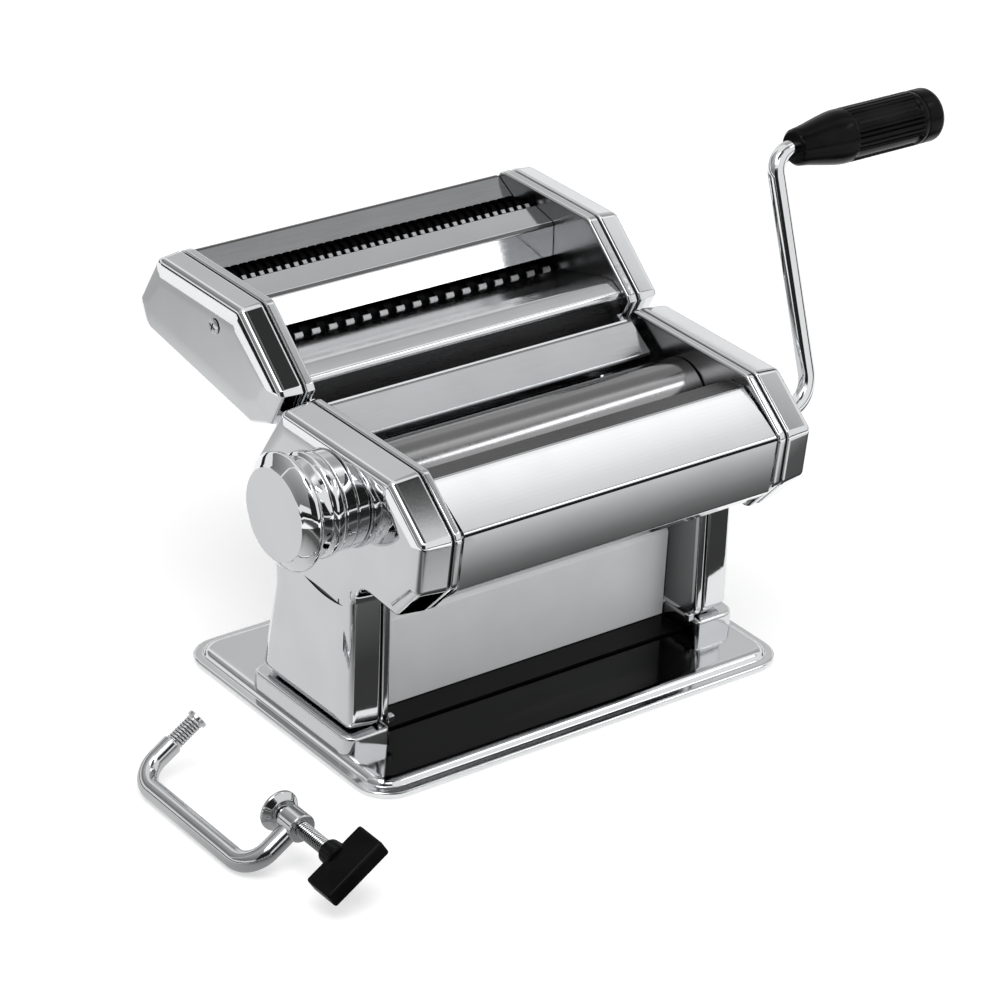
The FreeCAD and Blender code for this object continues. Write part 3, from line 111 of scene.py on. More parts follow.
def noise(tree, scale, detail, stretch=(1.0, 1.0, 1.0), rough=0.5):
    """A noise texture in the object's own coordinates, stretched along its axes."""
    mapping = add_node(tree, "Mapping", {"Vector": own_place(tree), "Scale": stretch})
    return add_node(tree, "TexNoise", {
        "Vector": mapping.outputs["Vector"], "Scale": scale, "Detail": detail, "Roughness": rough,
    }).outputs["Fac"]


def ramp(tree, factor, low, high, start=0.3, stop=0.7):
    """Spreads a factor over two values, as a grey or as colours."""
    node = add_node(tree, "ValToRGB", {"Fac": factor})
    node.color_ramp.elements[0].position = start
    node.color_ramp.elements[1].position = stop
    for element, value in zip(node.color_ramp.elements, (low, high)):
        colour = value if isinstance(value, tuple) else (value,) * 3
        element.color = (*colour, 1.0)
    return node.outputs["Color"]


def bumped(tree, shader, factor, strength, distance):
    bump = add_node(tree, "Bump", {"Height": factor, "Strength": strength, "Distance": distance})
    tree.links.new(bump.outputs["Normal"], shader.inputs["Normal"])


def metal(name, colour, smooth, dull, grain=(1.0, 1.0, 1.0), relief=0.03, metallic=1.0, edge=1.0):
    """A metal whose polish varies in patches, with fine scratches along its grain."""
    material, tree, shader = new_material(name)
    shader.inputs["Metallic"].default_value = metallic
    shader.inputs["Specular Tint"].default_value = (edge, edge, edge, 1.0)
    worn = tuple(part * 0.94 for part in colour)
    patches = noise(tree, scale=35.0, detail=6.0)
    scratches = noise(tree, scale=900.0, detail=3.0, stretch=grain, rough=0.7)
    tree.links.new(ramp(tree, patches, worn, colour, 0.25, 0.6), shader.inputs["Base Color"])
    tree.links.new(ramp(tree, scratches, smooth, dull, 0.35, 0.75), shader.inputs["Roughness"])
    bumped(tree, shader, scratches, relief, 0.00005)
    return material


def moulded(name, colour, worn, smooth, dull, relief, sheen=0.5):
    """Moulded plastic or rubber with a fine skin and rubbed patches."""
    material, tree, shader = new_material(name)
    patches = noise(tree, scale=60.0, detail=5.0)
    skin = noise(tree, scale=1400.0, detail=2.0)
    tree.links.new(ramp(tree, patches, colour, worn, 0.45, 0.8), shader.inputs["Base Color"])
    tree.links.new(ramp(tree, patches, smooth, dull, 0.3, 0.7), shader.inputs["Roughness"])
    bumped(tree, shader, skin, relief, 0.0001)
    shader.inputs["Specular IOR Level"].default_value = sheen
    return material


CHROME = (0.72, 0.73, 0.74)
ROLLED, GROUND = (0.05, 1.0, 1.0), (1.0, 0.1, 0.1)
COVER = metal("cover_chrome_polish", CHROME, 0.03, 0.07)
SHEET = metal("sheet_chrome_polish", (0.71, 0.72, 0.73), 0.04, 0.09, ROLLED)
REAR_SHEET = metal("rear_sheet_chrome", (0.42, 0.43, 0.44), 0.10, 0.20, ROLLED)
# Painted shade in dark grey, on the hood's lip, a crease, the rear plate's top edge and the cutter folds.
PAINTED_SHADE_GREY = metal("painted_shade_grey", (0.09, 0.09, 0.092), 0.25, 0.4, ROLLED)
SOFT_SHEET = metal("cutter_sheet_chrome", (0.71, 0.72, 0.73), 0.09, 0.16, ROLLED)
PANEL = metal("panel_satin_chrome", (0.78, 0.79, 0.80), 0.4, 0.5, ROLLED, relief=0.08, metallic=0.2)
PLATE = metal("plate_bright_nickel", (0.68, 0.69, 0.70), 0.06, 0.14, (1.0, 1.0, 0.1))
BEARING = metal("bearing_turned_steel", (0.55, 0.56, 0.57), 0.2, 0.35, GROUND)
GEAR = metal("gear_oiled_steel", (0.40, 0.41, 0.42), 0.25, 0.4)
# Painted shade: a dark copy of the plates' nickel for the cutter plates' inner walls.
INNER_WALL_SHADE = metal("inner_wall_painted_shade_nickel", (0.20, 0.20, 0.205), 0.2, 0.26, relief=0.008)
# Painted shade: the rear roller's chrome darker than the front one's, for the shade under the feed plate.
REAR_ROLLER_SHADE = metal("rear_roller_painted_shade_chrome", (0.30, 0.30, 0.305), 0.12, 0.2, GROUND)
ROLLER = metal("roller_ground_chrome", CHROME, 0.06, 0.14, GROUND)
# Painted shade: cutting rings and cores near-black, with dark edges, for the shade in the cutter slots.
RINGS_SHADE = metal("cutter_ring_painted_shade_black", (0.006, 0.006, 0.0063), 0.35, 0.5, (1.0, 0.2, 0.2), edge=0.1)
CORE_SHADE = metal("cutter_core_painted_shade_black", (0.004, 0.004, 0.0042), 0.45, 0.6, edge=0.1)
COMB = metal("comb_bright_steel", (0.42, 0.43, 0.44), 0.3, 0.45)
KNOB = metal("knob_mirror_chrome", (0.73, 0.74, 0.75), 0.02, 0.06)
CRANK = metal("crank_chrome", CHROME, 0.04, 0.09, (0.3, 1.0, 1.0))
CLAMP = metal("clamp_zinc_plate", (0.60, 0.61, 0.62), 0.06, 0.16)
SCREW = metal("screw_zinc_plate", (0.55, 0.56, 0.57), 0.12, 0.3)
# Painted shade in near-black: seams between covers and pans, the hood's bend, screw slots, thread roots.
PAINTED_SHADE_BLACK = metal("painted_shade_black", (0.012, 0.012, 0.013), 0.4, 0.6)
PLASTIC = moulded("black_satin_plastic", (0.0025, 0.0025, 0.0028), (0.006, 0.006, 0.0065), 0.14, 0.26, 0.1,
                  sheen=0.07)
RUBBER = moulded("black_moulded_rubber", (0.03, 0.03, 0.03), (0.05, 0.05, 0.05), 0.6, 0.8, 0.3)


def within(tree, value, low, high, edge):
    """1 where a coordinate in metres lies between low and high millimetres, with a soft edge."""
    sides = []
    for start, stop in ((low - edge, low), (high + edge, high)):
        ease = add_node(tree, "MapRange", {"Value": value, "From Min": start * MM, "From Max": stop * MM},
                        interpolation_type="SMOOTHSTEP")
        sides.append(ease.outputs["Result"])
    return math_node(tree, "MULTIPLY", *sides)


def painted(material, factor, colour):
    """Turns a metal's colour into another one by a factor."""
    tree = material.node_tree
    base = tree.nodes["Principled BSDF"].inputs["Base Color"]
    mix = add_node(tree, "Mix", {0: factor, 6: base.links[0].from_socket, 7: colour}, data_type="RGBA")
    tree.links.new(mix.outputs[2], base)
    return material


def tray_chrome():
    """Polished chrome with a painted dark reflection between the legs under the hood, where the photograph's
    tray is black.

    The black zone's ends lean along the photograph's line of sight, so they fit that view alone.
    """
    sight_lean, middle, left_end = -0.797, 30.3, -94.0
    front, rear, edge = -59.8, -16.0, 1.2
    material = metal("tray_chrome_polish", CHROME, 0.09, 0.14)
    tree = material.node_tree
    x, y = own_axis(tree, "X"), own_axis(tree, "Y")
    slant = math_node(tree, "MULTIPLY_ADD", y, sight_lean, x)
    ends = math_node(tree, "MULTIPLY", within(tree, slant, middle - INNER, middle + INNER, edge),
                     within(tree, x, left_end, INNER, edge))
    painted_reflection_zone = math_node(tree, "MULTIPLY", ends, within(tree, y, front, rear, edge))
    streaks = noise(tree, 14.0, 4.0, (0.35, 2.5, 1.0))
    # Painted dark reflection with soft streaks, laid over the chrome in that zone.
    black = ramp(tree, streaks, (0.004, 0.004, 0.004), (0.02, 0.02, 0.021), 0.5, 0.75)
    return painted(material, painted_reflection_zone, black)


def shaded_wall():
    """Satin nickel painted darker for shade, and darker still from the mouth of the rollers to the back, as
    the photograph shows it.
    """
    dark_from, dark_to, fade = 8.0, 60.0, 78.0
    material = metal("side_wall_painted_shade_nickel", (0.42, 0.42, 0.425), 0.2, 0.26, relief=0.008)
    tree = material.node_tree
    depth = within(tree, own_axis(tree, "Y"), dark_from, dark_to, fade)
    return painted(material, depth, (0.05, 0.05, 0.052, 1.0))


# ---- meshes


def loft(rings, first=True, last=True):
    """Joins closed rings of equal length into a skin; first and last close its ends."""
    points = [point for ring in rings for point in ring]
    size = len(rings[0])
    faces = []
    for level in range(len(rings) - 1):
        for step in range(size):
            a, b = level * size + step, level * size + (step + 1) % size
            faces.append((a, b, b + size, a + size))
    if first:
        faces.append(tuple(range(size)))
    if last:
        faces.append(tuple(range((len(rings) - 1) * size, len(rings) * size)))
    return points, faces


def merged(*parts):
    points, faces = [], []
    for more_points, more_faces in parts:
        shift = len(points)
        points += list(more_points)
        faces += [tuple(index + shift for index in face) for face in more_faces]
    return points, faces


def corner_points(before, here, after, radius, inset, steps, least):
    """The rounded corner of a path that was moved to its left by inset."""
    a, b, c = Vector(before), Vector(here), Vector(after)
    u, v = (b - a).normalized(), (c - b).normalized()
    left_u, left_v = Vector((-u.y, u.x)), Vector((-v.y, v.x))
    corner = b + (left_u + left_v) * (inset / (1.0 + left_u.dot(left_v)))
    turn = math.atan2(u.x * v.y - u.y * v.x, u.dot(v))
    sign = 1.0 if turn > 0 else -1.0
    size = max(radius - sign * inset, least)
    reach = size * math.tan(abs(turn) / 2)
    start = corner - u * reach
    centre = start + left_u * size * sign
    arm = start - centre
    return [centre + Matrix.Rotation(turn * step / steps, 2) @ arm for step in range(steps + 1)]


def closed_outline(points, radii, inset):
    """An outline moved inwards by inset, with every corner rounded."""
    area = sum(a[0] * b[1] - b[0] * a[1] for a, b in zip(points, points[1:] + points[:1]))
    if area < 0:
        points, radii = points[::-1], radii[::-1]
    arc_steps, least = 7, 1.2
    spots = []
    for before, here, after, radius in zip(points[-1:] + points, points, points[1:] + points[:1], radii):
        spots += corner_points(before, here, after, radius, inset, arc_steps, min(least, radius))
    return spots


def drawn_in(spots, spine, way):
    """Moves an outline's points by way towards the lines of a spine, most of all towards the nearest."""
    moved = []
    for spot in spots:
        pull = Vector((0.0, 0.0))
        reach = math.inf
        for start, stop in spine:
            start, stop = Vector(start), Vector(stop)
            along = stop - start
            share = min(max((spot - start).dot(along) / along.length_squared, 0.0), 1.0)
            arm = start + along * share - spot
            pull += arm / arm.length ** 7
            reach = min(reach, arm.length)
        moved.append(spot + pull.normalized() * min(way, 0.7 * reach))
    return moved


def stacked(outline, radii, profile, way=1, base=0.0, spine=()):
    """A skin along X through (x, inset, drawn in) steps of one outline in Y and Z."""
    rings = []
    for x, inset, drawn in profile:
        spots = closed_outline(outline, radii, inset)
        if drawn:
            spots = drawn_in(spots, spine, drawn)
        rings.append([(way * (base + x), p.x, p.y) for p in spots])
    return loft(rings)


def layered(outline, radii, profile):
    """A skin along Z through (z, inset) steps of one outline in X and Y."""
    return loft([[(p.x, p.y, z) for p in closed_outline(outline, radii, inset)] for z, inset in profile])


def axis_at(y, z):
    return Matrix.Translation((0.0, y, z))


def full_turn(count):
    return [2 * math.pi * step / count for step in range(count)]


def turned(profile, place, segments=64, wave=None):
    """Revolves (x, radius) steps about the X axis of place; wave(x, angle) is taken off the radius."""
    rings = []
    for x, radius in profile:
        ring = []
        for angle in full_turn(segments):
            size = max(radius - (wave(x, angle) if wave else 0.0), 0.0)
            ring.append(tuple(place @ Vector((x, size * math.cos(angle), size * math.sin(angle)))))
        rings.append(ring)
    return loft(rings, profile[0][1] > 0, profile[-1][1] > 0)


def hollow_turned(profile, place, segments=64):
    """Revolves a closed (x, radius) outline about the X axis of place."""
    points, faces = turned(profile + profile[:1], place, segments)
    return points, faces[:-2]


def rounded_steps(profile, radius):
    """An (x, radius) line whose inner corners are rounded by up to radius."""
    steps = 4
    spots = [profile[0]]
    for a, b, c in zip(profile, profile[1:], profile[2:]):
        a, b, c = Vector(a), Vector(b), Vector(c)
        into, out = (b - a), (c - b)
        reach = min(radius, into.length * 0.45, out.length * 0.45)
        start, stop = b - into.normalized() * reach, b + out.normalized() * reach
        for step in range(steps + 1):
            t = step / steps
            spots.append(tuple(start * (1 - t) ** 2 + b * 2 * t * (1 - t) + stop * t ** 2))
    spots.append(profile[-1])
    return spots


def swelled(start, stop, rise, count):
    """A line from start to stop that swells to its right by rise in the middle."""
    start, stop = Vector(start), Vector(stop)
    way = stop - start
    out = Vector((way.y, -way.x)).normalized()
    spots = []
    for step in range(count + 1):
        share = step / count
        spots.append(tuple(start + way * share + out * rise * 4 * share * (1 - share)))
    return spots


def bent_edge(line, radius, inset):
    """A (y, z) line moved to its left by inset, with rounded bends; a slight bend takes a single step."""
    ends = []
    for a, b in (line[:2], line[-2:]):
        u = (Vector(b) - Vector(a)).normalized()
        ends.append(Vector((-u.y, u.x)) * inset)
    spots = [Vector(line[0]) + ends[0]]
    for a, b, c in zip(line, line[1:], line[2:]):
        turn = (Vector(b) - Vector(a)).angle(Vector(c) - Vector(b))
        spots += corner_points(a, b, c, radius, inset, 5 if turn > 0.1 else 1, 0.3)
    return spots + [Vector(line[-1]) + ends[1]]


def bent(line, half, radius=1.6):
    """Sheet metal along a (y, z) line, thickened to its left."""
    loop = bent_edge(line, radius, 0.0) + bent_edge(line, radius, SHEET_THICKNESS)[::-1]
    return loft([[(x, p.x, p.y) for p in loop] for x in (-half, half)])


def swept(path, radius, segments=40):
    """A round rod along a line of points."""
    rings = []
    normal = None
    for step, point in enumerate(path):
        ahead = path[min(step + 1, len(path) - 1)] - path[max(step - 1, 0)]
        ahead.normalize()
        if normal is None:
            normal = ahead.orthogonal().normalized()
        normal = (normal - ahead * normal.dot(ahead)).normalized()
        other = ahead.cross(normal)
        rings.append([tuple(point + normal * radius * math.cos(angle) + other * radius * math.sin(angle))
                      for angle in full_turn(segments)])
    return loft(rings)


def bent_path(points, radii, steps=14):
    """Straight runs through the points, with each inner corner turned into an arc."""
    spots = [Vector(points[0])]
    for (a, b, c), radius in zip(zip(points, points[1:], points[2:]), radii):
        a, b, c = Vector(a), Vector(b), Vector(c)
        u, v = (b - a).normalized(), (c - b).normalized()
        turn = u.angle(v)
        reach = radius * math.tan(turn / 2)
        start = b - u * reach
        inward = (v - u * u.dot(v)).normalized()
        centre = start + inward * radius
        for step in range(steps + 1):
            angle = turn * step / steps
            spots.append(centre - inward * radius * math.cos(angle) + u * radius * math.sin(angle))
    spots.append(Vector(points[-1]))
    return spots


def threaded(start, stop, radius, depth, pitch, place, segments=28):
    """A screw thread about the X axis of place, which fades out over one pitch at its ends."""
    per_turn = 8
    count = int((stop - start) / pitch * per_turn)

    def groove(x, angle):
        phase = (x / pitch - angle / (2 * math.pi)) % 1.0
        fade = min(1.0, (x - start) / pitch, (stop - x) / pitch)
        return depth * (1.0 - abs(2.0 * phase - 1.0)) * max(fade, 0.0)

    line = [(start + (stop - start) * level / count, radius) for level in range(count + 1)]
    return turned(line, place, segments, groove)


def block(low, high, place=None):
    corners = [(x, y, z) for x in (low[0], high[0]) for y in (low[1], high[1]) for z in (low[2], high[2])]
    if place:
        corners = [tuple(place @ Vector(corner)) for corner in corners]
    faces = [(0, 1, 3, 2), (4, 6, 7, 5), (0, 4, 5, 1), (2, 3, 7, 6), (0, 2, 6, 4), (1, 5, 7, 3)]
    return corners, faces


def raw_object(name, shape):
    points, faces = shape
    mesh = bpy.data.meshes.new(name)
    mesh.from_pydata([Vector(point) * MM for point in points], [], faces)
    work = bmesh.new()
    work.from_mesh(mesh)
    bmesh.ops.remove_doubles(work, verts=work.verts, dist=1e-7)
    bmesh.ops.recalc_face_normals(work, faces=work.faces)
    work.to_mesh(mesh)
    work.free()
    obj = bpy.data.objects.new(name, mesh)
    scene.collection.objects.link(obj)
    return obj


def cut_out(obj, shapes):
    """Takes closed shapes out of the object's mesh."""
    for shape in shapes:
        tool = raw_object("cutting_shape", shape)
        modifier = obj.modifiers.new("Cut", "BOOLEAN")
        modifier.operation = "DIFFERENCE"
        modifier.solver = "EXACT"
        modifier.object = tool
        seen = obj.evaluated_get(bpy.context.evaluated_depsgraph_get())
        mesh = bpy.data.meshes.new_from_object(seen)
        obj.modifiers.clear()
        obj.data = mesh
        bpy.data.objects.remove(tool)


def piece(name, shape, body, material, nodes=(), cuts=(), sharp=32.0, bevel=0.0):
    """A finished piece: its mesh, soft or sharp edges, material and the CAD nodes that it stands for."""
    obj = raw_object(name, shape)
    cut_out(obj, cuts)
    work = bmesh.new()
    work.from_mesh(obj.data)
    for face in work.faces:
        face.smooth = True
    for edge in work.edges:
        edge.smooth = edge.calc_face_angle(0.0) < math.radians(sharp)
    work.to_mesh(obj.data)
    work.free()
    obj.data.materials.clear()
    obj.data.materials.append(material)
    if bevel:
        modifier = obj.modifiers.new("Edges", "BEVEL")
        modifier.width = bevel * MM
        modifier.segments = 3
        modifier.limit_method = "ANGLE"
        modifier.angle_limit = math.radians(35)
        modifier.harden_normals = True
    weighted = obj.modifiers.new("Normals", "WEIGHTED_NORMAL")
    weighted.keep_sharp = True
    weighted.weight = 80
    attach(obj, body)
    if nodes:
        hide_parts(*nodes)
    return obj


def shade_faces(obj, material, chosen):
    """Gives the faces that chosen picks by their centre, in millimetres, a second material."""
    obj.data.materials.append(material)
    for face in obj.data.polygons:
        if chosen(face.center / MM):
            face.material_index = len(obj.data.materials) - 1


# ---- base


def rectangle(low_x, high_x, low_y, high_y):
    return [(low_x, low_y), (high_x, low_y), (high_x, high_y), (low_x, high_y)]


def build_base():
    rim = [
        (4.8, 8.0), (0.9, 8.0), (0.8, 4.5), (0.8, 1.1), (1.1, 0.45), (1.7, 0.08), (2.2, 0.0), (2.7, 0.15),
        (3.05, 0.55), (3.2, 1.2), (3.2, 3.3), (3.35, 3.75), (3.7, 4.05), (4.3, 4.4), (4.9, 4.9), (5.4, 5.6),
        (5.75, 6.4), (5.95, 7.4), (6.0, 8.6),
    ]
    tray = layered(rectangle(-100, 100, -67, 67), [14.0] * 4, rim)
    feet, outer_end, front, rear = [], 95.2, -40.2, 26.2
    for side in (-1, 1):
        ends = sorted((side * INNER, side * outer_end))
        radii = [6.5, 3.0, 3.0, 6.5] if side < 0 else [3.0, 6.5, 6.5, 3.0]
        feet.append(layered(rectangle(*ends, front, rear), radii, [
            (5.0, 0.0), (6.6, 0.0), (8.0, 0.15), (11.6, 0.3), (12.3, 0.5), (12.8, 1.0), (13.0, 1.8),
        ]))
    piece("base_tray_pressed", merged(tray, *feet), "machine", tray_chrome(), ["base_tray"])
    pads = []
    outline = [(0.0, 0.0), (0.0, 5.2), (0.3, 5.9), (0.9, 6.3), (4.8, 6.45), (4.8, 0.0)]
    for x in (-60.0, 60.0):
        for y in (-49.0, 49.0):
            place = Matrix.Translation((x, y, 0.0)) @ Matrix.Rotation(-math.pi / 2, 4, "Y")
            pads.append(turned(outline, place, 40))
    piece("rubber_feet_moulded", merged(*pads), "machine", RUBBER, ["rubber_feet"])


# ---- sides


def cylinder(axis, radius, low, high, segments=64):
    return turned([(low, 0.0), (low, radius), (high, radius), (high, 0.0)], axis_at(*axis), segments)


def cover_profile(depth, wall, draft, rounding, bevel):
    """The section of a pressed cover: its hollow, edge, drafted wall, rounded corner and soft bevel."""
    lean = math.radians(17.0)
    rise = bevel * math.tan(lean) / 2
    turn_in = depth - rise - rounding * math.cos(lean)
    steps = [(depth - wall - 1.2, wall + draft + rounding * 0.3, 0.0), (turn_in, wall + draft, 0.0)]
    steps += [(0.5, wall, 0.0), (0.5, 0.75, 0.0), (0.7, 0.35, 0.0), (1.1, 0.08, 0.0), (1.7, 0.0, 0.0)]
    for step in range(9):
        angle = math.pi / 2 + (lean - math.pi / 2) * step / 8
        steps.append((turn_in + rounding * math.cos(angle), draft + rounding * (1 - math.sin(angle)), 0.0))
    corner, inset, _ = steps[-1]
    for step in range(1, 9):
        share = step / 8
        steps.append((corner + rise * share * (2 - share), inset, bevel * share))
    return steps


def plate_profile(depth):
    """The section of a pan, from inside its floor out over its rim to its outer floor; x runs inwards."""
    wall, corner = PLATE_SHEET, 1.2
    steps = [(depth - wall, wall + 0.4), (0.5, wall), (0.5, 0.75), (0.7, 0.35), (1.05, 0.06), (1.5, 0.0)]
    for step in range(9):
        angle = math.pi / 2 * step / 8
        steps.append((depth - corner + corner * math.sin(angle), corner * (1 - math.cos(angle))))
    return steps + [(depth, 2.4)]


def pan(outline, radii, depth, side, seam_at):
    profile = [(seam_at - x, inset, 0.0) for x, inset in plate_profile(depth)]
    return stacked(outline, radii, profile, side)


def seam_shade_band(outline, radii, side, seam_at):
    """A band of painted shade in the hollow between a plate's rim and the cover that closes it."""
    reach, deep, shallow = 0.8, 1.7, 0.9
    corners = [(-reach, deep), (-reach, shallow), (reach, shallow), (reach, deep), (-reach, deep)]
    profile = [(*corner, 0.0) for corner in corners]
    points, faces = stacked(outline, radii, profile, side, seam_at)
    return points, faces[:-2]


CREASE_START, CREASE_LENGTH, CREASE_TOP, CREASE_DROP = -6.0, 25.0, 67.4, 1.5


def crease_cutter():
    """A shallow lens-shaped dent that the press leaves under the head of the left side cover."""
    high, low, count = [], [], 10
    for step in range(count + 1):
        share = step / count
        swell = math.sin(math.pi * share)
        y, z = CREASE_START - CREASE_LENGTH * share, CREASE_TOP - CREASE_DROP * share
        high.append((y, z + 0.5 * swell))
        low.append((y, z - 1.5 * swell))
    loop = high + low[-2:0:-1]
    return loft([[(x, y, z) for y, z in loop] for x in (-FACE - 1.0, -FACE + 0.5)])


def in_crease(centre):
    """True for the faces that the crease's cut leaves in the left side cover."""
    slope, middle, half_height = CREASE_DROP / CREASE_LENGTH, (-18.5, 66.3), 1.2
    deep = -FACE + 0.02 < centre.x < -FACE + 0.7
    along = CREASE_START - CREASE_LENGTH + 0.5 < centre.y < CREASE_START
    return deep and along and abs(centre.z - middle[1] - (centre.y - middle[0]) * slope) < half_height


def pressed_side(name, body, side, outline, radii, seam, section, spine, depth, cover_cuts, plate_cuts):
    """One side's cover and pan with a band of painted shade in the seam between them; gives back the cover
    and the pan.
    """
    skin = stacked(outline, radii, cover_profile(*section), side, seam, spine)
    cover = piece(f"{name}_cover_pressed", skin, body, COVER, [f"{name}_cover"], cover_cuts)
    skin = pan(outline, radii, depth, side, seam)
    plate = piece(f"{name}_plate_pressed", skin, body, PLATE, [f"{name}_plate"], plate_cuts)
    piece(f"{name}_seam", seam_shade_band(outline, radii, side, seam), body, PAINTED_SHADE_BLACK)
    return cover, plate


def build_sides():
    side_wall = shaded_wall()
    for name, side in (("left", -1), ("right", 1)):
        low, high = sorted((side * 80.0, side * 96.0))
        if side < 0:
            cover_cuts = [cylinder(REAR_AXIS, 10.4, low, high), crease_cutter()]
        else:
            cover_cuts = [cylinder(FRONT_AXIS, 6.9, low, high), cylinder(TUBE_AXIS, 6.04, low, high)]
        low, high = sorted((side * 70.0, side * 80.0))
        plate_cuts = [cylinder(FRONT_AXIS, 8.04, low, high)]
        plate_cuts += [cylinder(rod, 3.04, low, high, 32) for rod in BODY_RODS]
        plate_cuts.append(block((low, -31.35, 97.45), (high, -10.85, 113.75)))
        cover, plate = pressed_side(f"{name}_side", "machine", side, SIDE_OUTLINE, SIDE_RADII, SEAM,
                                    (14.6, 2.0, 1.0, 3.2, 7.0), SIDE_SPINE, 4.0, cover_cuts, plate_cuts)
        # Painted shade in the crease under the head.
        shade_faces(cover, PAINTED_SHADE_GREY, in_crease)
        # Painted shade on the upper inner walls of the side plates.
        shade_faces(plate, side_wall, lambda centre: abs(centre.x) < INNER + 0.1 and centre.z > 77.0)

        screw_ends = sorted((side * 80.0, side * 95.0))
        cover_cuts = [cylinder(CUTTER_SCREW, 1.64, *screw_ends, 24)]
        if side > 0:
            cover_cuts += [cylinder(axis, 5.6, *screw_ends) for axis in (WIDE_HIGH, FINE_REAR)]
        plate_cuts = []
        for axis in (WIDE_LOW, WIDE_HIGH, FINE_FRONT, FINE_REAR):
            driven = side > 0 and axis in (WIDE_HIGH, FINE_REAR)
            plate_cuts.append(cylinder(axis, 5.25 if driven else 3.05, low, high, 32))
        plate_cuts += [cylinder(rod, 2.54, low, high, 32) for rod in CUTTER_RODS]
        cover, plate = pressed_side(f"{name}_cutter", "cutter_head", side, CUTTER_OUTLINE, CUTTER_RADII,
                                    CUTTER_SEAM, (12.0, 1.8, 0.7, 3.0, 9.0), CUTTER_SPINE, 5.0, cover_cuts,
                                    plate_cuts)
        # Painted shade on the cutter plates' inner walls.
        shade_faces(plate, INNER_WALL_SHADE, lambda centre: abs(centre.x) < INNER + 0.1)
    lugs = [block((low, -37.6, 13.05), (high, -34.8, 16.2)) for low, high in ((-74.4, -71.6), (71.6, 74.4))]
    piece("foot_lugs", merged(*lugs), "machine", PLATE, bevel=0.5)


def build_screws():
    """Cross-headed screws in the cutter covers; heights are above the covers' faces."""
    slot_floor, slot_length, slot_width = 0.35, 1.9, 0.32
    head = [
        (-3.3, 0.0), (-3.3, 1.6), (0.0, 1.6), (0.0, 3.05), (0.35, 3.1), (0.8, 2.7), (1.1, 1.8), (1.2, 0.9),
        (1.2, 0.0),
    ]
    shapes, cuts = [], []
    for side in (-1, 1):
        line = [(side * (CUTTER_FACE + rise), radius) for rise, radius in head]
        shapes.append(turned(line, axis_at(*CUTTER_SCREW), 40))
        for tilt in (20, 110):
            place = axis_at(*CUTTER_SCREW) @ Matrix.Rotation(math.radians(tilt), 4, "X")
            low, high = sorted((side * (CUTTER_FACE + slot_floor), side * (CUTTER_FACE + 2.0)))
            cuts.append(block((low, -slot_length, -slot_width), (high, slot_length, slot_width), place))
    obj = piece("cutter_screws_phillips", merged(*shapes), "cutter_head", SCREW,
                ["cutter_screws"], cuts)
    # Painted shade in the slots and round the foot of each screw head.
    shade_faces(obj, PAINTED_SHADE_BLACK, lambda centre: abs(centre.x) < CUTTER_FACE + 0.7 and
                not 2.0 < math.hypot(centre.y - CUTTER_SCREW[0], centre.z - CUTTER_SCREW[1]) < 2.9)


# ---- sheets and rods


def comb(edge, tip, pitch, width):
    """Fingers from a sill's edge up over the grooves of the cutting roller behind it."""
    edge, tip = Vector(edge), Vector(tip)
    along = (tip - edge).normalized()
    under = Vector((along.y, -along.x)) * 0.8
    root, shoulder = edge - along * 0.5, tip - along * 0.3
    section = [root, shoulder, shoulder + under * 0.4 + along * 0.3, tip + under, root + under]
    fingers = []
    for turn in range(round(RING_SPAN / pitch)):
        middle = -RING_SPAN / 2 + pitch * (turn + 0.75)
        ends = (middle - width / 2, middle + width / 2)
        fingers.append(loft([[(x, p.x, p.y) for p in section] for x in ends]))
    return merged(*fingers)


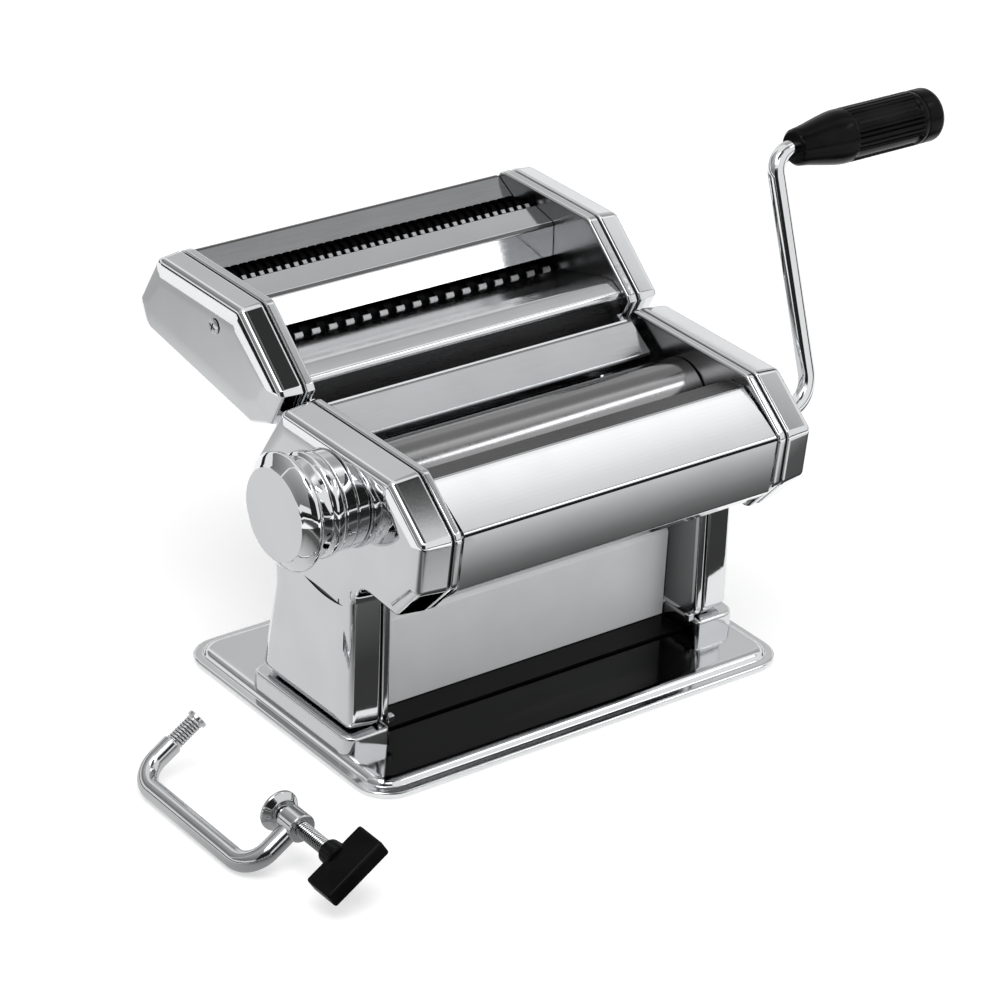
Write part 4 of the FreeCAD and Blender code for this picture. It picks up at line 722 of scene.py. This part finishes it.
def build_sheets():
    half, hood_half, back_half, finger_share = INNER - 0.3, INNER - 0.9, 71.5, 0.46
    hood = [(-46.0, 123.0), *swelled((-55.4, 123.6), (-76.9, 111.0), 0.4, 14), (-74.7, 87.4), (-66.7, 80.4)]
    feed = [(13.0, 121.4), (11.5, 126.4), (-3.0, 117.0), (-2.0, 113.0)]
    back = [(12.5, 124.4), (29.0, 100.0), (19.0, 80.0)]
    panel = [(-31.5, 6.05), (-17.5, 6.05), (-17.5, 44.0), (-13.3, 51.0)]
    rear = [(92.6, 146.4), (102.6, 151.9), (104.6, 151.4), (105.5, 136.0)]
    middle = [(78.4, 146.6), (78.4, 149.1), (66.4, 146.4), (65.2, 145.0), (64.8, 132.2)]
    front = [(62.6, 125.1), (62.6, 127.6), (35.0, 134.8), (27.0, 135.8), (20.5, 132.6), (19.8, 119.8)]

    def sheet(name, shape, body, finish):
        return piece(f"{name}_folded", shape, body, finish, [name])

    hooded = sheet("front_hood", bent(hood, hood_half, 1.8), "machine", SHEET)
    # Painted shade on the hood's lip.
    shade_faces(hooded, PAINTED_SHADE_GREY, lambda centre: centre.y > -54.6 and centre.z > 122.0)
    # Painted shade along the hood's bend.
    shade_faces(hooded, PAINTED_SHADE_BLACK, lambda centre: centre.y < -76.0 and 110.0 < centre.z < 111.0)
    sheet("feed_plate", bent(feed, back_half), "machine", REAR_SHEET)
    sheet("back_cover", bent(back, back_half, 4.0), "machine", SHEET)
    cross = sheet("cross_panel", bent(panel, half, 1.4), "machine", PANEL)
    # Painted dark reflection on the panel's foot, matching the tray's.
    shade_faces(cross, PLASTIC, lambda centre: centre.z < 7.4 and centre.y < -18.0)
    rear_plate = sheet("cutter_rear_plate", bent(rear, half, 1.2), "cutter_head", REAR_SHEET)
    # Painted shade along the rear plate's top edge.
    shade_faces(rear_plate, PAINTED_SHADE_GREY, lambda centre: centre.y > 102.0 and centre.z > 150.0)
    for name, line, radius, tip, pitch, shaded_fold in (
            ("middle", middle, 1.0, (79.5, 149.95), 4.0, lambda centre: centre.y < 66.3 and centre.z > 145.1),
            ("front", front, 3.0, (63.4, 128.75), 8.0, lambda centre: centre.y < 22.0 and centre.z < 129.0)):
        edge = line[1]
        shape = merged(bent(line, half, radius), comb(edge, tip, pitch, pitch * finger_share))
        plate = sheet(f"cutter_{name}_plate", shape, "cutter_head", SOFT_SHEET)
        shade_faces(plate, COMB, lambda centre, edge=edge: centre.y > edge[0] + 0.05)
        # Painted shade along each plate's fold.
        shade_faces(plate, PAINTED_SHADE_GREY, shaded_fold)


def build_rods():
    reach = 77.2
    for name, body, places, radius in (("tie_rods", "machine", BODY_RODS, 2.98),
                                       ("cutter_tie_rods", "cutter_head", CUTTER_RODS, 2.48)):
        line = rounded_steps([(-reach, 0.0), (-reach, radius), (reach, radius), (reach, 0.0)], 0.4)
        shape = merged(*[turned(line, axis_at(*place), 32) for place in places])
        piece(f"{name}_turned", shape, body, BEARING, [name])
    tube = rounded_steps([(76.2, 4.2), (93.5, 4.2), (93.5, 6.0), (76.2, 6.0)], 0.5)
    piece("clamp_socket_turned", hollow_turned(tube, axis_at(*TUBE_AXIS), 48), "machine", BEARING,
          ["clamp_socket"])


# ---- rollers


def build_rollers():
    end, left, right, tip = ROLLER_END, -78.8, 79.6, 82.6
    radius, journal, spigot = 15.2, 5.0, 2.6
    profile = rounded_steps([
        (left, 0.0), (left, journal), (-end, journal), (-end, radius), (end, radius), (end, journal),
        (right, journal), (right, spigot), (tip, spigot), (tip, 0.0),
    ], 0.6)
    for name, axis, finish in (("front_roller", FRONT_AXIS, ROLLER), ("rear_roller", REAR_AXIS, REAR_ROLLER_SHADE)):
        piece(f"{name}_ground", turned(profile, axis_at(*axis), 96), name, finish, [name])


def ring_profile(pitch, driven):
    """A cutting roller's line in rings and grooves; a driven one has its rings shifted and a crank's bore."""
    end, left = ROLLER_END, -(CUTTER_SEAM + 1.6 + 5.6)
    journal, core, shoulder, ring = 3.0, 4.9, 6.35, 6.5
    line = [(left, 0.0), (left, journal), (-end, journal), (-end, core)]
    start = -RING_SPAN / 2 + 0.06 + (pitch / 2 if driven else 0.0)
    width = pitch / 2 - 0.12
    for turn in range(round(RING_SPAN / pitch)):
        low = start + turn * pitch
        high = min(low + width, end - 0.1)
        line += [(low, core), (low, shoulder), (low + 0.15, ring)]
        line += [(high - 0.15, ring), (high, shoulder), (high, core)]
    line.append((end, core))
    if driven:
        right, sleeve, bore, depth = CUTTER_FACE + 0.6, 5.2, 3.6, 15.0
        line += [(end, sleeve), (right - 0.3, sleeve), (right, core), (right, bore), (right - depth, bore)]
        line.append((right - depth, 0.0))
    else:
        line += [(end, journal), (CUTTER_SEAM, journal), (CUTTER_SEAM, 0.0)]
    return line


def build_cutters():
    for body, axis, pitch, driven in (
            ("wide_lower", WIDE_LOW, 8.0, False), ("wide_upper", WIDE_HIGH, 8.0, True),
            ("fine_front", FINE_FRONT, 4.0, False), ("fine_rear", FINE_REAR, 4.0, True)):
        shape = turned(ring_profile(pitch, driven), axis_at(*axis), 40)
        obj = piece(f"{body}_roller_ringed", shape, body, RINGS_SHADE, [f"{body}_roller"])
        # Painted shade in the cores between the rings.
        shade_faces(obj, CORE_SHADE, lambda centre, axis=axis: abs(centre.x) < INNER
                    and math.hypot(centre.y - axis[0], centre.z - axis[1]) < 6.3)


# ---- knob


def build_knob():
    dial = rounded_steps([(-93.0, 12.0), (-93.0, 19.5), (-98.2, 19.5), (-98.2, 12.0)], 0.8)
    piece("dial_ring_turned", hollow_turned(dial, axis_at(*REAR_AXIS), 96), "machine", KNOB,
          ["dial_ring"])
    start, end = -98.5, -117.1
    outline = [
        (start, 8.0), (start, 19.2), (start - 0.5, 20.0), (start - 1.5, 20.4), (start - 3.4, 20.4),
        (start - 4.4, 20.1), (start - 5.0, 19.3), (start - 5.6, 18.8), (end + 9.4, 18.8), (end + 8.2, 19.4),
        (end + 7.2, 21.2), (end + 6.5, 22.4), (end + 5.6, 22.7), (end + 4.8, 22.7), (end + 4.2, 22.4),
        (end + 2.6, 21.2), (end + 0.9, 18.9), (end + 0.25, 18.2), (end + 0.05, 17.9), (end + 0.28, 17.5),
        (end + 0.24, 12.0), (end + 0.2, 6.0), (end + 0.18, 0.0),
    ]
    piece("thickness_knob_turned", turned(outline, axis_at(*REAR_AXIS), 128), "thickness_knob", KNOB,
          ["thickness_knob"], sharp=50)


# ---- crank


def grip_ribs(x, angle):
    """How deep the grip is cut at a place: four panels of fine ribs between smooth bands."""
    start, stop, panel, rib_count = 147.0, 182.0, 54.0, 5.0
    if not start < x < stop:
        return 0.0
    turn = (math.degrees(angle) + 12.0) % 90.0
    fade = min(1.0, x - start, stop - x)
    if turn > panel:
        return 0.9 * fade
    return fade * (0.0 if (turn / panel * rib_count) % 1.0 < 0.66 else 0.8)


def grip_radius(x):
    """The grip's radius along its axis: a neck, a swell and a straight hold with a stepped end."""
    neck_start, hold_start, neck, swell, end = 122.2, 144.0, 7.2, 3.6, 184.0
    if x < 123.3:
        return 6.2 + (x - neck_start) * 0.8
    if x < hold_start:
        share = (x - 123.0) / 21.0
        return neck + swell * (share * share * (3 - 2 * share) * 0.4 + share * 0.6)
    return 10.5 if x > end else neck + swell


def build_crank():
    place = axis_at(*FRONT_AXIS) @ Matrix.Rotation(math.radians(CRANK_LEAN), 4, "X")
    grip_axis = place @ Matrix.Translation((0.0, 0.0, CRANK_ARM))
    corners = [(84.2, 0.0, 0.0), (CRANK_OUT, 0.0, 0.0), (CRANK_OUT, 0.0, CRANK_ARM),
               (CRANK_END, 0.0, CRANK_ARM)]
    path = [place @ point for point in bent_path(corners, [13.0, 9.0])]
    rivet = [(CRANK_END, 0.0), (CRANK_END, 5.5), (185.6, 5.5), (186.1, 4.6), (186.1, 0.0)]
    rod = merged(swept(path, 3.5), turned(rivet, grip_axis, 40))
    piece("crank_rod_bent", rod, "crank", CRANK, ["crank_rod"])
    socket = [(83.2, 3.6), (93.6, 3.6), (93.6, 6.5), (79.6, 6.5), (79.6, 2.64), (83.2, 2.64)]
    socket = rounded_steps(socket, 0.5)
    piece("crank_socket_turned", hollow_turned(socket, axis_at(*FRONT_AXIS), 48), "front_roller", BEARING,
          ["crank_socket"])
    xs = [122.2, 122.5, 123.4, 126.0, 130.0, 134.0, 138.0, 141.0, 143.0, 145.0, 146.9, 147.2, 147.6, 148.1]
    xs += [150.0 + step * 3.0 for step in range(11)] + [180.9, 181.4, 181.8, 182.1, 183.2, 184.1, 184.4]
    profile = [(122.1, 3.56), (122.1, 5.9), *((x, grip_radius(x)) for x in xs), (184.45, 3.56)]
    piece("crank_grip_moulded", turned(profile, grip_axis, 144, grip_ribs), "grip", PLASTIC,
          ["crank_grip"], sharp=40)
    cap = [
        (184.55, 6.5), (184.55, 10.4), (184.9, 10.75), (190.2, 10.8), (191.3, 10.55), (192.4, 9.8),
        (193.1, 8.7), (193.4, 7.6), (193.2, 7.2), (193.1, 4.0), (193.15, 0.0),
    ]
    piece("grip_cap_moulded", turned(cap, grip_axis, 96), "grip", PLASTIC, ["grip_cap"],
          sharp=50)


# ---- clamp


def thread_root(place, start, stop, radius):
    """A test for the faces deep in a thread that runs along the X axis of place."""
    back = place.inverted()

    def chosen(centre):
        spot = back @ centre
        return start < spot.x < stop and math.hypot(*spot.yz) < radius
    return chosen


def build_clamp():
    place = Matrix.Translation((-166.0, -7.5, 4.0)) @ Matrix.Rotation(math.radians(CLAMP_TILT), 4, "Y")
    eye = (CLAMP_ARM, -CLAMP_OPENING, 0.0)
    eye_place = place @ Matrix.Translation(eye) @ Matrix.Rotation(math.pi / 2, 4, "Z")
    corners = [(18.0, 0.0, 0.0), (0.0, 0.0, 0.0), (0.0, -CLAMP_OPENING, 0.0), eye]
    path = [place @ point for point in bent_path(corners, [10.0, 10.0], 18)]
    spigot = threaded(18.0, 30.2, 3.4, 0.45, 1.25, place, 32)
    flange = turned(rounded_steps([(30.0, 0.0), (30.0, 4.0), (31.6, 4.0), (31.6, 0.0)], 0.3), place, 40)
    ring = rounded_steps([(-4.5, 3.05), (-4.5, 5.6), (4.5, 5.6), (4.5, 3.05)], 0.9)
    bar = merged(swept(path, 3.97), spigot, flange, hollow_turned(ring, eye_place, 48))
    rod = piece("clamp_rod_bent", bar, "clamp", CLAMP, ["clamp_rod"])
    # Painted shade in the thread's roots.
    shade_faces(rod, PAINTED_SHADE_BLACK, thread_root(place, 18.2, 29.9, 3.08))
    neck = turned([(7.0, 2.6), (7.5, 1.8), (10.2, 1.8), (10.2, 0.0)], eye_place, 28)
    thread = merged(threaded(-33.5, 7.3, 3.0, 0.45, 1.0, eye_place), neck)
    screw = piece("clamp_screw_threaded", thread, "screw", CLAMP, ["clamp_screw"])
    # Painted shade in the thread's roots.
    shade_faces(screw, PAINTED_SHADE_BLACK, thread_root(eye_place, -math.inf, 6.0, 2.7))
    pad = rounded_steps([(7.7, 1.9), (7.7, 5.5), (9.9, 8.0), (11.1, 8.0), (11.1, 0.0)], 0.5)
    piece("clamp_pad_pressed", turned(pad, eye_place, 56), "pad", CLAMP, ["clamp_pad"])
    wing = block((-13.5, -39.5, -3.5), (13.5, -25.5, 3.5), place @ Matrix.Translation(eye))
    piece("clamp_knob_wing", wing, "screw", PLASTIC, ["clamp_knob"], bevel=1.1)
    hub = rounded_steps([(-28.0, 3.0), (-28.0, 5.4), (-20.5, 4.6), (-20.5, 3.05)], 0.9)
    piece("clamp_knob_hub", hollow_turned(hub, eye_place, 40), "screw", PLASTIC)


# ---- carried-over CAD solids


def dress_cad():
    for material, nodes in (
            (BEARING, ["left_gap_block", "right_gap_block", "roller_bushes", "gap_cam", "knob_pin",
                       "knob_spring"]),
            (GEAR, [f"{name}_gear" for name in ("front", "rear", "wide_lower", "wide_upper", "fine_front",
                                                "fine_rear")]),
            (PLATE, ["cutter_hooks"]), (SCREW, ["foot_screws"])):
        for node in nodes:
            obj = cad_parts[node]
            obj.data.materials.clear()
            obj.data.materials.append(material)


# ---- studio


WHITE = (1.0, 1.0, 1.0, 1.0)


def seen_directly(tree):
    """1 for rays from the camera, from a mirror or through glass, 0 for light that lands on things."""
    rays = add_node(tree, "LightPath").outputs
    seen = math_node(tree, "MAXIMUM", rays["Is Camera Ray"], rays["Is Glossy Ray"])
    return math_node(tree, "MAXIMUM", seen, rays["Is Transmission Ray"])


def build_world():
    world = bpy.data.worlds.new("Studio")
    scene.world = world
    world.use_nodes = True
    tree = world.node_tree
    lit = tree.nodes["Background"]
    lit.inputs["Color"].default_value = WHITE
    lit.inputs["Strength"].default_value = 0.62
    plain = add_node(tree, "Background", {"Color": WHITE, "Strength": 1.0})
    mix = add_node(tree, "MixShader", {0: seen_directly(tree), 1: lit.outputs[0], 2: plain.outputs[0]})
    tree.links.new(mix.outputs[0], tree.nodes["World Output"].inputs["Surface"])


def build_floor():
    """A white sweep that glows to whoever looks at it, more so far away, and keeps the object's shadow."""
    near, far, near_glow, far_glow, size = 0.5, 1.6, 0.41, 0.6, 5000
    material, tree, shader = new_material("white_sweep")
    shader.inputs["Roughness"].default_value = 0.9
    shader.inputs["Specular IOR Level"].default_value = 0.1
    shader.inputs["Base Color"].default_value = (0.72, 0.72, 0.72, 1.0)
    distance = add_node(tree, "VectorMath", {0: own_place(tree)}, operation="LENGTH").outputs["Value"]
    level = add_node(tree, "MapRange", {
        "Value": distance, "From Min": near, "From Max": far, "To Min": near_glow, "To Max": far_glow,
    }).outputs["Result"]
    glow = add_node(tree, "Emission", {"Strength": math_node(tree, "MULTIPLY", seen_directly(tree), level)})
    both = add_node(tree, "AddShader", {0: shader.outputs[0], 1: glow.outputs[0]})
    tree.links.new(both.outputs[0], tree.nodes["Material Output"].inputs["Surface"])
    corners = [(*corner, 0) for corner in rectangle(-size, size, -size, size)]
    floor = raw_object("floor", (corners, [(0, 1, 2, 3)]))
    floor.data.materials.append(material)


def card(name, corners, stops, along="Y"):
    """A grey studio card that only mirrors show; stops are (millimetres, grey) along one axis."""
    material = bpy.data.materials.new(name + "_paper")
    material.use_nodes = True
    tree = material.node_tree
    tree.nodes.clear()
    first, last = stops[0][0], stops[-1][0]
    ease = add_node(tree, "MapRange", {
        "Value": own_axis(tree, along), "From Min": first * MM, "From Max": last * MM,
    })
    shade = add_node(tree, "ValToRGB", {"Fac": ease.outputs["Result"]})
    marks = shade.color_ramp.elements
    for spot, _ in stops[1:-1]:
        marks.new((spot - first) / (last - first))
    for mark, (_, grey) in zip(marks, stops):
        mark.color = (grey, grey, grey, 1.0)
    glow = add_node(tree, "Emission", {"Color": shade.outputs["Color"]})
    add_node(tree, "OutputMaterial", {"Surface": glow.outputs[0]})
    obj = raw_object(name, (corners, [tuple(range(len(corners)))]))
    obj.data.materials.append(material)
    for ray in ("camera", "diffuse", "transmission", "volume_scatter", "shadow"):
        setattr(obj, "visible_" + ray, False)


def level_card(name, low_x, high_x, low_y, high_y, height, stops, along="Y"):
    card(name, [(*corner, height) for corner in rectangle(low_x, high_x, low_y, high_y)], stops, along)


def upright_card(name, first, last, low, high, stops):
    """A card that stands between two (x, y) places, from low to high."""
    card(name, [(*first, low), (*last, low), (*last, high), (*first, high)], stops, "Z")


def build_cards():
    """Greys that chrome mirrors: on the floor at the left and in front, overhead, and a rail all round."""
    floor_height, ceiling = 0.6, 1400.0
    level_card("card_left", -420.0, -102.0, -260.0, 620.0, floor_height, [
        (-260.0, 0.12), (-130.0, 0.12), (-70.0, 0.5), (-30.0, 0.76), (60.0, 0.80), (200.0, 0.80),
        (290.0, 0.62), (400.0, 0.50), (620.0, 0.5),
    ])
    level_card("card_front", -100.0, 420.0, -420.0, -75.0, floor_height, [
        (-420.0, 1.0), (-230.0, 0.95), (-190.0, 0.84), (-182.0, 0.56), (-174.0, 0.36), (-167.0, 0.2),
        (-160.0, 0.115), (-112.0, 0.05), (-75.0, 0.05),
    ])
    level_card("card_above", 450.0, 3000.0, 60.0, 3000.0, ceiling, [
        (60.0, 1.0), (160.0, 0.55), (330.0, 0.45), (700.0, 0.48), (900.0, 0.5), (1200.0, 0.72), (1500.0, 0.7),
        (1950.0, 0.64), (3000.0, 0.6),
    ])
    level_card("card_foreground", -430.0, 30.0, -640.0, -185.0, floor_height, [
        (-640.0, 0.3), (-560.0, 0.03), (-230.0, 0.03), (-185.0, 0.5),
    ])
    level_card("card_far_left", -1300.0, -430.0, -900.0, -260.0, floor_height, [
        (-900.0, 0.1), (-330.0, 0.1), (-260.0, 0.5),
    ])
    level_card("card_over_edge", -600.0, 300.0, -900.0, -260.0, ceiling, [
        (-600.0, 0.9), (-480.0, 0.1), (150.0, 0.08), (300.0, 0.4),
    ], "X")
    level_card("card_over_left", 300.0, 620.0, -900.0, -260.0, ceiling, [
        (-900.0, 0.9), (-600.0, 0.8), (-587.0, 0.48), (-574.0, 0.2), (-562.0, 0.12), (-541.0, 0.04),
        (-400.0, 0.04), (-260.0, 0.5),
    ])
    level_card("card_over_hood", 630.0, 1700.0, -900.0, 50.0, ceiling - 10.0, [
        (-900.0, 0.4), (-480.0, 0.45), (-430.0, 0.58), (-340.0, 0.85), (-250.0, 0.95), (-150.0, 1.15),
        (0.0, 1.4), (50.0, 1.0),
    ])
    for name, first, last, low in (
            ("card_back_left", (-1000.0, 640.0), (-150.0, 1100.0), 420.0),
            ("card_left_high", (-1100.0, -650.0), (-1100.0, 640.0), 330.0)):
        upright_card(name, first, last, low, 1800.0, [(low, 0.2), (1000.0, 0.45), (1800.0, 0.6)])
    camera_side = Vector((-610.0, -765.0, 470.0))
    right, up = Vector((0.782, -0.623, 0.0)), Vector((0.288, 0.361, 0.887))
    corners = [tuple(camera_side + right * a + up * b) for a, b in rectangle(-420, 420, -330, 300)]
    card("card_camera_side", corners, [(150.0, 0.02), (620.0, 0.02), (740.0, 0.3)], "Z")
    out, low, high = 1900.0, 30.0, 240.0
    ring = [(out * math.cos(angle), out * math.sin(angle)) for angle in full_turn(24)]
    for turn, ends in enumerate(zip(ring, ring[1:] + ring[:1])):
        upright_card(f"rail_{turn:02d}", *ends, low, high, [(low, 0.02), (200.0, 0.02), (high, 0.3)])


def area_lamp(name, place, aim, size, watts):
    data = bpy.data.lights.new(name, "AREA")
    data.shape = "RECTANGLE"
    data.size, data.size_y = size
    data.energy = watts
    lamp = bpy.data.objects.new(name, data)
    scene.collection.objects.link(lamp)
    lamp.location = place
    lamp.rotation_euler = (Vector(aim) - Vector(place)).to_track_quat("-Z", "Y").to_euler()
    return lamp


def build_lamps():
    """Places and sizes in metres, and power in watts; the low fill is kept out of the mirrors."""
    machine = (0.0, 0.0, 0.1)
    area_lamp("key_overhead", (-0.5, -0.5, 1.5), machine, (1.2, 1.0), 12.0)
    area_lamp("strip_front_right", (0.98, -0.66, 1.38), machine, (0.5, 0.3), 2.2)
    area_lamp("rim_back_left", (-0.7, 1.3, 1.6), machine, (0.6, 0.4), 4.0)
    fill = area_lamp("fill_low_front", (0.15, -1.3, 0.22), (0.0, 0.0, 0.05), (1.0, 0.3), 4.0)
    fill.visible_glossy = False


def build_camera():
    """The view fitted to the photograph: a long lens a metre and a half away, rolled a little."""
    azimuth, elevation, roll = math.radians(-38.55), math.radians(27.53), math.radians(3.23)
    focal, distance, picture, sensor = 3824.0, 1480.0, 1000.0, 36.0
    # The pixel at which the photograph shows the point that the camera looks at.
    middle_seen = (493.0, 524.5)
    turn = (Matrix.Rotation(azimuth, 3, "Z") @ Matrix.Rotation(math.pi / 2 - elevation, 3, "X")
            @ Matrix.Rotation(roll, 3, "Z"))
    across, upward, back = turn.col
    shift_x = (middle_seen[0] - picture / 2) / focal * distance
    shift_y = -(middle_seen[1] - picture / 2) / focal * distance
    eye = Vector((0.0, 0.0, 60.0)) + back * distance - across * shift_x - upward * shift_y
    data = bpy.data.cameras.new("Camera")
    data.sensor_width = sensor
    data.lens = focal * sensor / picture
    data.clip_start, data.clip_end = 0.05, 20.0
    camera = bpy.data.objects.new("Camera", data)
    scene.collection.objects.link(camera)
    camera.matrix_world = Matrix.Translation(eye * MM) @ turn.to_4x4()
    scene.camera = camera


build_base()
build_sides()
build_screws()
build_sheets()
build_rods()
build_rollers()
build_cutters()
build_knob()
build_crank()
build_clamp()
dress_cad()
build_world()
build_floor()
build_cards()
build_lamps()
build_camera()
scene.view_settings.view_transform = "Standard"

bpy.context.view_layer.update()
